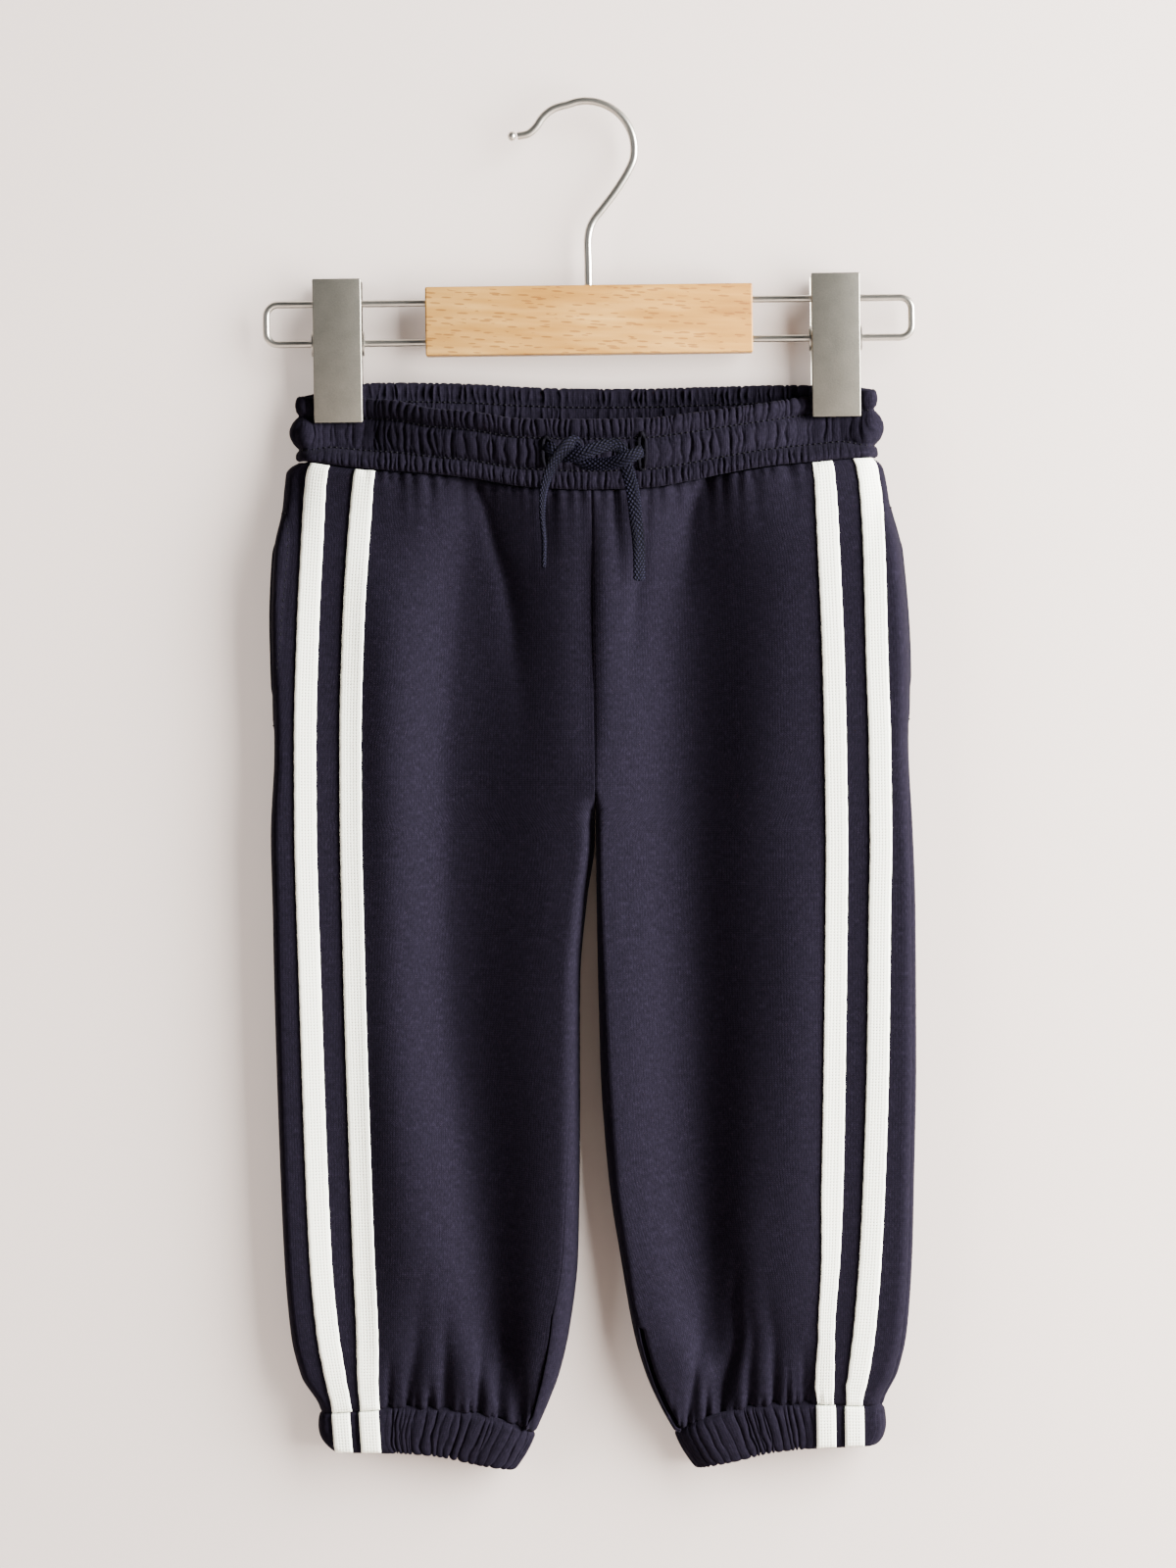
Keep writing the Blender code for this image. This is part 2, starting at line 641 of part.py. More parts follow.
def make_tape(leg, label, tape, collection, white):
    """A tape down a front panel, made from the panel's own points, moved out."""

    def lifted(column, row, height):
        level = PANEL_LEVELS[row]
        place = tape_places(leg, level, tape)[column]
        normal = leg_normal(leg, place, level, "front", 0, 3)
        return leg_point(leg, place, level, "front") + normal * height

    bm = cloth_wall(
        1, len(PANEL_LEVELS) - 1,
        lambda column, row: lifted(column, row, SEAM_GAP + TAPE_WALL),
        lambda column, row: lifted(column, row, SEAM_GAP),
    )  # fmt: skip
    add_object(f"{leg.name}_{label}_tape", bm, white, collection)


def cuff_x_place(leg, x):
    """The place on a cuff's front at x, at its seam."""
    side = abs(cuff_point(leg, 0, 0).x)
    inner = abs(cuff_point(leg, 3, 0).x)
    if side - x < CUFF_ROUND:
        return arc_place(side - x, CUFF_ROUND)
    return 1 + (side - CUFF_ROUND - x) / (side - inner - 2 * CUFF_ROUND)


def make_cuff(leg, collection, navy, white):
    """A gathered cuff, lying flat under its two tapes."""
    tape_middle = leg.rows[-1].tape_b - TAPE_WIDTH / 2

    def fullness(place):
        x = abs(cuff_point(leg, place, 0.5).x)
        under_inner = place < 3 and abs(x - tape_middle) < TAPE_WIDTH / 2 + CUFF_TAPE_MARGIN
        return 0.0 if under_inner or place < 1 or place > 5.8 else 1.0

    def point(place, share, out):
        return cuff_point(leg, place, share, out)

    bm = gathered_ring(point, CUFF_SECTION, CUFF_GATHERS, fullness)
    add_object(f"{leg.name}_cuff", bm, navy, collection)
    for label, tape in (("outer", "tape_a"), ("inner", "tape_b")):
        outer_edge = getattr(leg.rows[-1], tape)
        edges = [cuff_x_place(leg, outer_edge - k * TAPE_WIDTH) for k in (0, 1)]

        def lifted(column, row, height, edges=edges):
            section = CUFF_SECTION[row]
            place = lerp(*edges, column / CUFF_TAPE_COLUMNS)
            return cuff_point(leg, place, section.share, section.out + height)

        bm = cloth_wall(
            CUFF_TAPE_COLUMNS, len(CUFF_SECTION) - 1,
            lambda column, row, lift=lifted: lift(column, row, SEAM_GAP + 0.1 + TAPE_WALL),
            lambda column, row, lift=lifted: lift(column, row, SEAM_GAP + 0.1),
        )  # fmt: skip
        add_object(f"{leg.name}_{label}_cuff_tape", bm, white, collection)


def make_pocket_facing(leg, collection, navy):
    """The strip behind a pocket's mouth, which shows just past the front panel's edge."""
    rows = 10

    def point(column, row, y):
        down = lerp(POCKET_TOP, POCKET_BOTTOM, row / rows)
        end = smooth(min(row, rows - row) / 2)
        edge = read(leg.rows, "side", down) + lerp(-2.0, FACING_SHOWS, end)
        x = edge - column * lerp(FACING_WIDTH - 3.0, FACING_WIDTH, end)
        return Vector((leg.hand * x, y, -down))

    front = -0.25
    bm = cloth_wall(
        1, rows,
        lambda column, row: point(column, row, front),
        lambda column, row: point(column, row, front + FACING_WALL),
    )  # fmt: skip
    add_object(f"{leg.name}_pocket_facing", bm, navy, collection)


# --- The drawcord and the hanger ---------------------------------------------------------


def add_wire(name, points, radius, finish, collection, closed=False):
    """A round wire or cord through points in millimetres, with filled ends."""
    curve = bpy.data.curves.new(name, "CURVE")
    curve.dimensions = "3D"
    curve.bevel_depth = radius * MM
    curve.bevel_resolution = 2
    curve.use_fill_caps = not closed
    spline = curve.splines.new("POLY")
    spline.points.add(len(points) - 1)
    for spot, point in zip(spline.points, points):
        spot.co = (*(Vector(point) * MM), 1.0)
    spline.use_cyclic_u = closed
    curve.materials.append(finish)
    made = bpy.data.objects.new(name, curve)
    collection.objects.link(made)
    return made


def make_drawcord(collection, braid):
    for name, route in CORD_ROUTES.items():
        points = through([Vector(point) for point in route], CORD_POINTS)
        add_wire(name, points, CORD_RADIUS, braid, collection)


def make_hook(collection, steel):
    """The hook's wire and the ball on its tip."""
    turn = [
        math.radians(lerp(*HOOK_TURN, step / (HOOK_TURN_STEPS - 1)))
        for step in range(HOOK_TURN_STEPS)
    ]
    crown = [
        (
            HOOK_CENTRE[0] + HOOK_TURN_RADIUS * math.cos(angle),
            HOOK_CENTRE[1] + HOOK_TURN_RADIUS * math.sin(angle),
        )
        for angle in turn
    ]
    flat = [*HOOK_STEM, *HOOK_RISE, *crown, *HOOK_TIP]
    points = through([Vector((x, 0, z)) for x, z in flat], 52)
    add_wire("hanger_hook", points, HOOK_RADIUS, steel, collection)
    bm = bmesh.new()
    bmesh.ops.create_uvsphere(bm, u_segments=12, v_segments=8, radius=HOOK_BALL_RADIUS)
    bmesh.ops.translate(bm, vec=(HOOK_BALL[0], 0, HOOK_BALL[1]), verts=bm.verts)
    add_object("hanger_hook_ball", bm, steel, collection, 180)


def make_wire_loop(collection, steel):
    """The two rails that the clips slide on, bent from one wire."""
    points = []
    corners = ((1, WIRE_UPPER, 90), (1, WIRE_LOWER, 0), (-1, WIRE_LOWER, -90), (-1, WIRE_UPPER, 180))
    for hand, down, start in corners:
        inset = WIRE_CORNER if down == WIRE_UPPER else -WIRE_CORNER
        centre = Vector((hand * (WIRE_HALF_WIDTH - WIRE_CORNER), 0, -down - inset))
        for step in range(5):
            angle = math.radians(start - step * 22.5)
            points.append(centre + WIRE_CORNER * Vector((math.cos(angle), 0, math.sin(angle))))
    add_wire("hanger_wire", points, WIRE_RADIUS, steel, collection, closed=True)


def cut_bore(block, name, wire_radius, length, down, turned, cutters):
    """Cuts a round bore through the middle of the block, along z or, turned, along x."""
    bpy.ops.mesh.primitive_cylinder_add(
        vertices=16, radius=(wire_radius + BORE_CLEARANCE) * MM, depth=length * MM,
        location=(0, 0, -down * MM), rotation=(0, QUARTER if turned else 0, 0),
    )  # fmt: skip
    cutter = bpy.context.active_object
    cutter.name = name
    cutter.hide_render = True
    cutter.display_type = "WIRE"
    for holder in list(cutter.users_collection):
        holder.objects.unlink(cutter)
    cutters.objects.link(cutter)
    cut = block.modifiers.new(name, "BOOLEAN")
    cut.operation = "DIFFERENCE"
    cut.object = cutter


def make_block(collection, cutters, wood):
    """The wood block, bored for the two rails and for the hook's stem."""
    bm = bmesh.new()
    bmesh.ops.create_cube(bm, size=1)
    height = BLOCK_BOTTOM - BLOCK_TOP
    bmesh.ops.scale(bm, vec=(BLOCK_WIDTH, BLOCK_DEPTH, height), verts=bm.verts)
    bmesh.ops.translate(bm, vec=(0, 0, -(BLOCK_TOP + BLOCK_BOTTOM) / 2), verts=bm.verts)
    bmesh.ops.bevel(
        bm, geom=bm.edges[:], offset=1.2, segments=2, profile=0.5, affect="EDGES", material=-1
    )
    block = add_object("hanger_block", bm, wood, collection)
    rail_bore = BLOCK_WIDTH * 1.2
    cut_bore(block, "upper_rail_bore", WIRE_RADIUS, rail_bore, WIRE_UPPER, True, cutters)
    cut_bore(block, "lower_rail_bore", WIRE_RADIUS, rail_bore, WIRE_LOWER, True, cutters)
    stem_middle = -HOOK_STEM[0][1] + BORE_CLEARANCE - STEM_BORE / 2
    cut_bore(block, "stem_bore", HOOK_RADIUS, STEM_BORE, stem_middle, False, cutters)


def make_clip(side, collection, steel):
    """A spring clip: two splayed jaws on a coil round the lower rail."""
    centre = CLIP_CENTRES[side]
    height = CLIP_BOTTOM - CLIP_TOP
    for label, way in (("front", -1), ("back", 1)):
        bm = bmesh.new()
        bmesh.ops.create_cube(bm, size=1)
        bmesh.ops.scale(bm, vec=(CLIP_WIDTH, CLIP_PLATE, height), verts=bm.verts)
        upright = [e for e in bm.edges if abs(e.verts[0].co.y - e.verts[1].co.y) > 0.1]
        bmesh.ops.bevel(
            bm, geom=upright, offset=2.0, segments=3, profile=0.5, affect="EDGES", material=-1
        )
        bm.normal_update()
        show = [face for face in bm.faces if face.normal.y * way > 0.9]
        bmesh.ops.inset_region(bm, faces=show, thickness=CLIP_RIM)
        sunk = {vert for face in show for vert in face.verts}
        bmesh.ops.translate(bm, vec=(0, -way * CLIP_RELIEF, 0), verts=list(sunk))
        half_mouth = CLIP_MOUTH + CLIP_PLATE / 2
        bmesh.ops.translate(bm, vec=(0, way * half_mouth, height / 2), verts=bm.verts)
        for vert in bm.verts:
            vert.co.y += way * vert.co.z * math.tan(CLIP_SPLAY)
        bmesh.ops.translate(bm, vec=(centre, 0, -CLIP_BOTTOM), verts=bm.verts)
        add_object(f"{side}_clip_{label}_jaw", bm, steel, collection)

    bm = bmesh.new()
    bore = WIRE_RADIUS + BORE_CLEARANCE
    half = SPRING_LENGTH / 2
    corners = [(-half, bore), (half, bore), (half, SPRING_RADIUS), (-half, SPRING_RADIUS)]
    verts = [bm.verts.new((x, r, 0)) for x, r in corners]
    edges = [bm.edges.new((verts[k], verts[(k + 1) % 4])) for k in range(4)]
    bmesh.ops.spin(
        bm, geom=verts + edges, cent=(0, 0, 0), axis=(1, 0, 0), angle=2 * math.pi, steps=20,
        use_merge=True,
    )  # fmt: skip
    bmesh.ops.translate(bm, vec=(centre, 0, -WIRE_LOWER), verts=bm.verts)
    add_object(f"{side}_clip_spring", bm, steel, collection)


def main():
    for old in list(bpy.data.objects):
        bpy.data.objects.remove(old, do_unlink=True)
    collection = bpy.data.collections.new("jogger_sweatpants")
    cutters = bpy.data.collections.new("cutters")
    bpy.context.scene.collection.children.link(collection)
    bpy.context.scene.collection.children.link(cutters)

    navy = material("navy_jersey", NAVY, 0.9)
    braid = material("navy_braid", NAVY_BRAID, 0.85)
    white = material("white_tape", OFF_WHITE, 0.8)
    wood = material("beech", BEECH, 0.55)
    steel = material("satin_nickel", STEEL, 0.35, 1.0)

    make_waistband(collection, navy)
    for leg in LEGS:
        make_panel(leg, "front", front_places, collection, navy)
        make_panel(leg, "back", back_places, collection, navy)
        make_tape(leg, "outer", "tape_a", collection, white)
        make_tape(leg, "inner", "tape_b", collection, white)
        make_cuff(leg, collection, navy, white)
        make_pocket_facing(leg, collection, navy)
    make_drawcord(collection, braid)
    make_hook(collection, steel)
    make_wire_loop(collection, steel)
    make_block(collection, cutters, wood)
    for side in CLIP_CENTRES:
        make_clip(side, collection, steel)


main()
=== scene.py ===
import math

import bmesh
import bpy
import numpy as np
from mathutils import Matrix, Vector


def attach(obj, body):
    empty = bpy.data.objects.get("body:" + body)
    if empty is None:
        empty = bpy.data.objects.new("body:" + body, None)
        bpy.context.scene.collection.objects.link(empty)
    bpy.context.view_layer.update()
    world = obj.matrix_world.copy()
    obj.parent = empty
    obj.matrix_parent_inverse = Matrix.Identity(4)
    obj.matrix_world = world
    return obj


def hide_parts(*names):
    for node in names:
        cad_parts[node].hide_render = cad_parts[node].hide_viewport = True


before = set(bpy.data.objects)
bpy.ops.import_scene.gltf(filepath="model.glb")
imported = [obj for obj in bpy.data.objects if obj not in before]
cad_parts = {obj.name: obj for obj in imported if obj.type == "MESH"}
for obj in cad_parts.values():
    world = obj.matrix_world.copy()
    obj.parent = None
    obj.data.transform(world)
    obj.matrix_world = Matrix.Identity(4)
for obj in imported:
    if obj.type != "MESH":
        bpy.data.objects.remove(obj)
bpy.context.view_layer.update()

# Child's jogger sweatpants on a clip hanger: +Z up, front towards -Y, the wearer's right
# leg at -X. Tables and functions are in millimetres; meshes are written in metres. Heights
# are "down", millimetres below the inside of the hook's crown.

MM = 0.001
QUARTER = math.pi / 2
SEAM_GAP = 0.14
HALF_GAP = SEAM_GAP / 2

# Cloth sizes
PANEL_WALL = 1.2
TAPE_TRIM = 1.1
TAPE_WIDTH = 9.4
TAPE_NARROWS = 1.0
TAPE_SLIMS = {
    ("left", "tape_a"): ((549, 557), (0.0, 1.7)),
    ("left", "tape_b"): ((468, 490, 508, 530, 544, 550, 557), (0.0, 1.1, 1.9, 2.4, 0.8, 0.5, 1.7)),
}
TAPE_WALL = 0.9
CROTCH_DOWN = 314.0
CROTCH_SPLIT = 20.0
# Where down the leg the shares in inner_shares hold.
INNER_SHARE_DOWNS = (335, 430, 530)
WAIST_SETTLES = 45.0
POCKET_TOP = 174.5
POCKET_BOTTOM = 264.5
POCKET_END = 5.0
POCKET_FRONT_GAP = 0.6
POCKET_BACK_GAP = 1.1
POCKET_STITCH = 4.2
WAIST_RIGHT = -123.6
WAIST_LEFT = 120.4
WAIST_ROUND = 3.5
WAIST_PINCH_SHARE = 0.45
WAIST_FACE = 1.6
WAIST_END_SHARES = ((-1, 0, 0.272, 0.728, 1, 2), (-1, 0, 0.29, 0.82, 1, 2))
WAIST_COLUMNS = 1400
WAIST_FINE_GATHERS = 264
# From the waistband's middle, where its two ends begin, and how wide they fade in.
WAIST_END_FROM = 108
WAIST_END_FADE = 13
CUFF_GATHERS = 68
CUFF_INNER_IN = 9.0
CUFF_DEPTH = 6.9
CUFF_ROUND = 11.0

# Hanger sizes
WIRE_RADIUS = 1.55
WIRE_HALF_WIDTH = 138.3
WIRE_UPPER = 84.1
WIRE_LOWER = 101.1
WIRE_CORNER = 5.0
BLOCK_WIDTH = 140.0
BLOCK_DEPTH = 12.0
BLOCK_TOP = 77.6
BLOCK_BOTTOM = 107.0
BORE_CLEARANCE = 0.3
HOOK_RADIUS = 1.75
CLIP_CENTRES = {"right": -107.7, "left": 105.5}
CLIP_WIDTH = 20.8
CLIP_TOP = 73.9
CLIP_BOTTOM = 135.2
CLIP_PLATE = 1.2
CLIP_MOUTH = 4.2
CLIP_SPLAY = math.radians(4.0)
SPRING_RADIUS = 6.1

# The waistband along x: how far down its edges are, how far the inner face stands off the
# middle at the clips' height and at the seam, and how full its gathers are.
WAIST_NAMES = (
    "x front_top front_seam back_top back_seam "
    "front_pinch back_pinch front_hang back_hang fullness"
)
WAIST_ROWS = (
    (-125, 124.0, 151.5, 124.0, 151.5, 2.2, 2.2, 7.6, 3.0, 0.45),
    (-118, 124.4, 152.4, 122.5, 150.5, 0.3, 0.3, 9.8, 3.5, 0.35),
    (-97, 125.0, 155.4, 118.3, 148.0, 0.3, 0.3, 11.4, 4.5, 0.7),
    (-84, 126.0, 156.6, 118.0, 147.5, 4.0, 1.6, 12.5, 5.5, 1.0),
    (-68, 129.8, 158.2, 118.2, 148.0, 8.0, 3.0, 13.4, 6.5, 1.0),
    (-51, 131.6, 160.2, 118.8, 148.5, 11.0, 4.2, 14.1, 7.2, 1.0),
    (-30, 135.0, 164.0, 120.2, 149.5, 13.5, 5.2, 14.7, 8.0, 1.0),
    (0, 135.8, 165.9, 121.4, 150.5, 14.5, 6.0, 15.5, 8.5, 1.0),
    (24, 135.6, 165.3, 121.6, 150.5, 14.0, 5.8, 15.1, 8.2, 1.0),
    (41, 133.8, 162.8, 121.4, 150.0, 12.5, 5.0, 14.3, 7.8, 1.0),
    (58, 131.6, 159.4, 121.2, 149.5, 10.0, 4.0, 13.2, 7.0, 1.0),
    (75, 129.2, 156.6, 121.0, 149.0, 6.5, 2.6, 12.1, 6.2, 1.0),
    (95, 126.0, 154.8, 121.4, 149.0, 0.3, 0.3, 10.6, 4.6, 0.7),
    (116, 124.0, 153.2, 122.6, 150.5, 0.3, 0.3, 8.6, 3.5, 0.35),
    (122, 123.8, 153.0, 123.8, 153.0, 2.2, 2.2, 6.6, 3.0, 0.45),
)
# Each leg, measured from the middle towards its own side: side seam edge, outer edges of the
# two tapes, inner edge, and how far the side seam and the inseam lie round on the front.
LEG_NAMES = "down side tape_a tape_b inner side_wrap inseam_wrap"
RIGHT_LEG_ROWS = (
    (151.5, 125.7, 120.2, 100.8, 0.0, 0.0, 0.0),
    (156.5, 130.6, 122.2, 102.0, 0.0, 0.0, 0.0),
    (172.0, 132.4, 124.0, 103.9, 0.0, 0.4, 0.0),
    (188.6, 136.0, 125.1, 105.4, 0.0, 2.2, 0.0),
    (222.0, 137.7, 127.2, 107.8, 0.0, 1.4, 0.0),
    (272.6, 137.0, 129.1, 109.7, 0.0, 0.0, 0.0),
    (314.0, 139.0, 129.4, 110.0, 0.2, 0.0, 0.0),
    (341.0, 138.6, 129.0, 109.7, 3.9, 0.0, 0.0),
    (375.0, 138.3, 128.3, 109.3, 7.2, 0.0, 0.3),
    (442.0, 137.0, 126.9, 108.0, 8.1, 0.0, 5.0),
    (493.0, 135.4, 125.2, 106.8, 9.5, 0.0, 6.8),
    (525.0, 133.0, 122.5, 105.7, 13.7, 0.0, 8.4),
    (543.0, 128.8, 119.4, 105.5, 18.1, 0.0, 8.4),
    (558.0, 120.8, 116.4, 104.5, 24.0, 0.0, 8.8),
    (569.0, 120.6, 115.8, 104.2, 29.0, 0.0, 9.0),
)
LEFT_LEG_ROWS = (
    (153.0, 122.3, 121.6, 103.9, 0.0, 0.0, 0.0),
    (157.5, 125.4, 123.3, 104.8, 0.0, 0.0, 0.0),
    (175.0, 128.4, 125.4, 106.1, 0.0, 0.0, 0.0),
    (192.0, 132.4, 126.1, 106.7, 0.0, 0.0, 0.0),
    (242.0, 135.4, 126.8, 108.2, 0.0, 0.0, 0.0),
    (276.0, 134.7, 127.5, 108.6, 0.0, 0.0, 0.0),
    (314.0, 136.1, 127.5, 108.7, 0.2, 1.6, 0.0),
    (343.0, 136.8, 126.7, 108.2, 0.2, 1.8, 0.0),
    (410.0, 136.4, 125.1, 106.6, 0.9, 1.8, 0.0),
    (460.0, 134.9, 123.0, 105.1, 3.9, 1.8, 0.0),
    (493.0, 133.7, 121.0, 103.4, 8.5, 1.8, 0.4),
    (526.5, 131.0, 117.9, 100.6, 14.0, 1.8, 2.8),
    (544.0, 126.9, 115.1, 100.3, 18.9, 1.6, 3.2),
    (558.0, 120.6, 112.1, 99.8, 25.0, 1.2, 2.6),
    (569.0, 120.2, 111.8, 99.8, 31.0, 1.0, 2.2),
)
# How far the legs' outer face stands off the middle, and how wide its edges round over.
DEPTH_NAMES = "down front back side_round back_round inner_round"
DEPTH_ROWS = (
    (150, 13.0, 9.0, 3.4, 10.0, 24.0),
    (200, 14.5, 12.0, 2.8, 26.0, 24.0),
    (300, 14.5, 12.5, 2.8, 30.0, 24.0),
    (420, 13.5, 11.5, 2.8, 30.0, 22.0),
    (500, 13.0, 11.0, 3.0, 28.0, 22.0),
    (540, 11.5, 10.5, 3.6, 22.0, 18.0),
    (560, 9.0, 9.0, 4.0, 13.0, 12.0),
)
# The cuffs, across from the side (0) to the inner edge (1): their seam and hem.
CUFF_NAMES = "across seam hem"
CUFF_ROWS = (
    (0.00, 558.6, 575.2),
    (0.30, 557.4, 575.8),
    (0.55, 558.3, 577.3),
    (0.80, 562.3, 581.2),
    (1.00, 568.6, 584.2),
)
# The folds of each leg's two faces, from the waist down. Each is a row of places: down, x from
# the middle, half widths towards the side and towards the middle, and depth (a ridge's is
# negative). The broad ones are round; the creases are sharp in the middle.
BROAD_FOLDS = {
    "right_front": (
        ((154, 51.5, 9, 14, 0.8), (162, 50.0, 12, 18, 3.4), (176, 49.0, 15, 24, 6.0),
         (192, 51.5, 17, 30, 8.0), (206, 54.0, 17, 34, 9.6), (248, 58.5, 17, 39, 11.4),
         (290, 61.5, 17, 38, 12.2), (374, 61.0, 19, 31, 12.4), (458, 53.0, 17, 22, 11.4),
         (521, 45.6, 14, 12, 8.0), (548, 38.5, 9, 6, 3.2), (560, 36.0, 6, 5, 1.0)),
        ((190, 104.0, 20, 12, 0.0), (240, 103.5, 24, 13, 2.2), (330, 103.0, 24, 14, 3.2),
         (500, 102.0, 22, 13, 3.0), (552, 100.0, 14, 8, 0.6)),
        ((180, 92.0, 10, 12, 0.0), (240, 88.0, 14, 16, -1.6), (420, 86.0, 14, 14, -1.6),
         (520, 80.0, 12, 12, 0.0)),
        ((172, 0.0, 8, 6, 0.5), (212, 0.0, 9, 6, 1.6), (262, 0.0, 9, 6, 1.4),
         (290, 0.0, 7, 5, 0.0)),
    ),
    "left_front": (
        ((153, 49.5, 10, 9, 0.8), (162, 48.0, 14, 12, 3.4), (176, 43.5, 20, 16, 6.4),
         (192, 40.5, 24, 18, 8.8), (206, 38.5, 26, 20, 10.2), (248, 38.0, 26, 24, 11.8),
         (290, 38.0, 25, 26, 12.4), (374, 40.2, 21, 24, 12.6), (458, 42.1, 17, 22, 11.6),
         (521, 46.8, 10, 14, 7.8), (546, 50.0, 8, 6, 3.0), (558, 51.5, 6, 5, 1.0)),
        ((250, 104.0, 12, 12, 0.0), (340, 99.0, 13, 14, 0.5), (500, 97.0, 12, 12, 0.7),
         (550, 96.0, 8, 8, 0.3)),
        ((300, 86.0, 12, 12, 0.0), (380, 86.0, 12, 12, -1.2), (480, 84.0, 12, 12, -1.2),
         (530, 82.0, 9, 9, 0.0)),
        ((172, 0.0, 3, 3, 0.5), (212, 0.0, 3.4, 3, 1.6), (262, 0.0, 3.4, 3, 1.4),
         (290, 0.0, 3, 3, 0.0)),
    ),
    "right_back": (
        ((156, 74.0, 12, 12, 1.0), (200, 70.0, 18, 20, 5.0), (340, 66.0, 20, 22, 6.6),
         (470, 64.0, 18, 16, 6.0), (540, 60.0, 10, 9, 2.6), (558, 58.0, 6, 6, 0.8)),
        ((330, 34.0, 10, 10, 0.0), (440, 36.0, 12, 12, 2.6), (550, 40.0, 8, 8, 0.8)),
        ((170, 28.0, 12, 14, 0.0), (230, 30.0, 18, 18, 2.2), (320, 34.0, 16, 16, 0.0)),
    ),
    "left_back": (
        ((156, 62.0, 12, 12, 1.0), (205, 66.0, 18, 20, 5.0), (340, 70.0, 22, 20, 6.6),
         (470, 66.0, 16, 18, 6.0), (540, 62.0, 9, 10, 2.6), (558, 61.0, 6, 6, 0.8)),
        ((300, 36.0, 12, 12, 0.0), (440, 40.0, 12, 12, 2.4), (552, 42.0, 8, 8, 0.8)),
        ((165, 22.0, 10, 12, 0.0), (225, 24.0, 16, 16, 2.0), (310, 28.0, 16, 16, 0.0)),
    ),
}
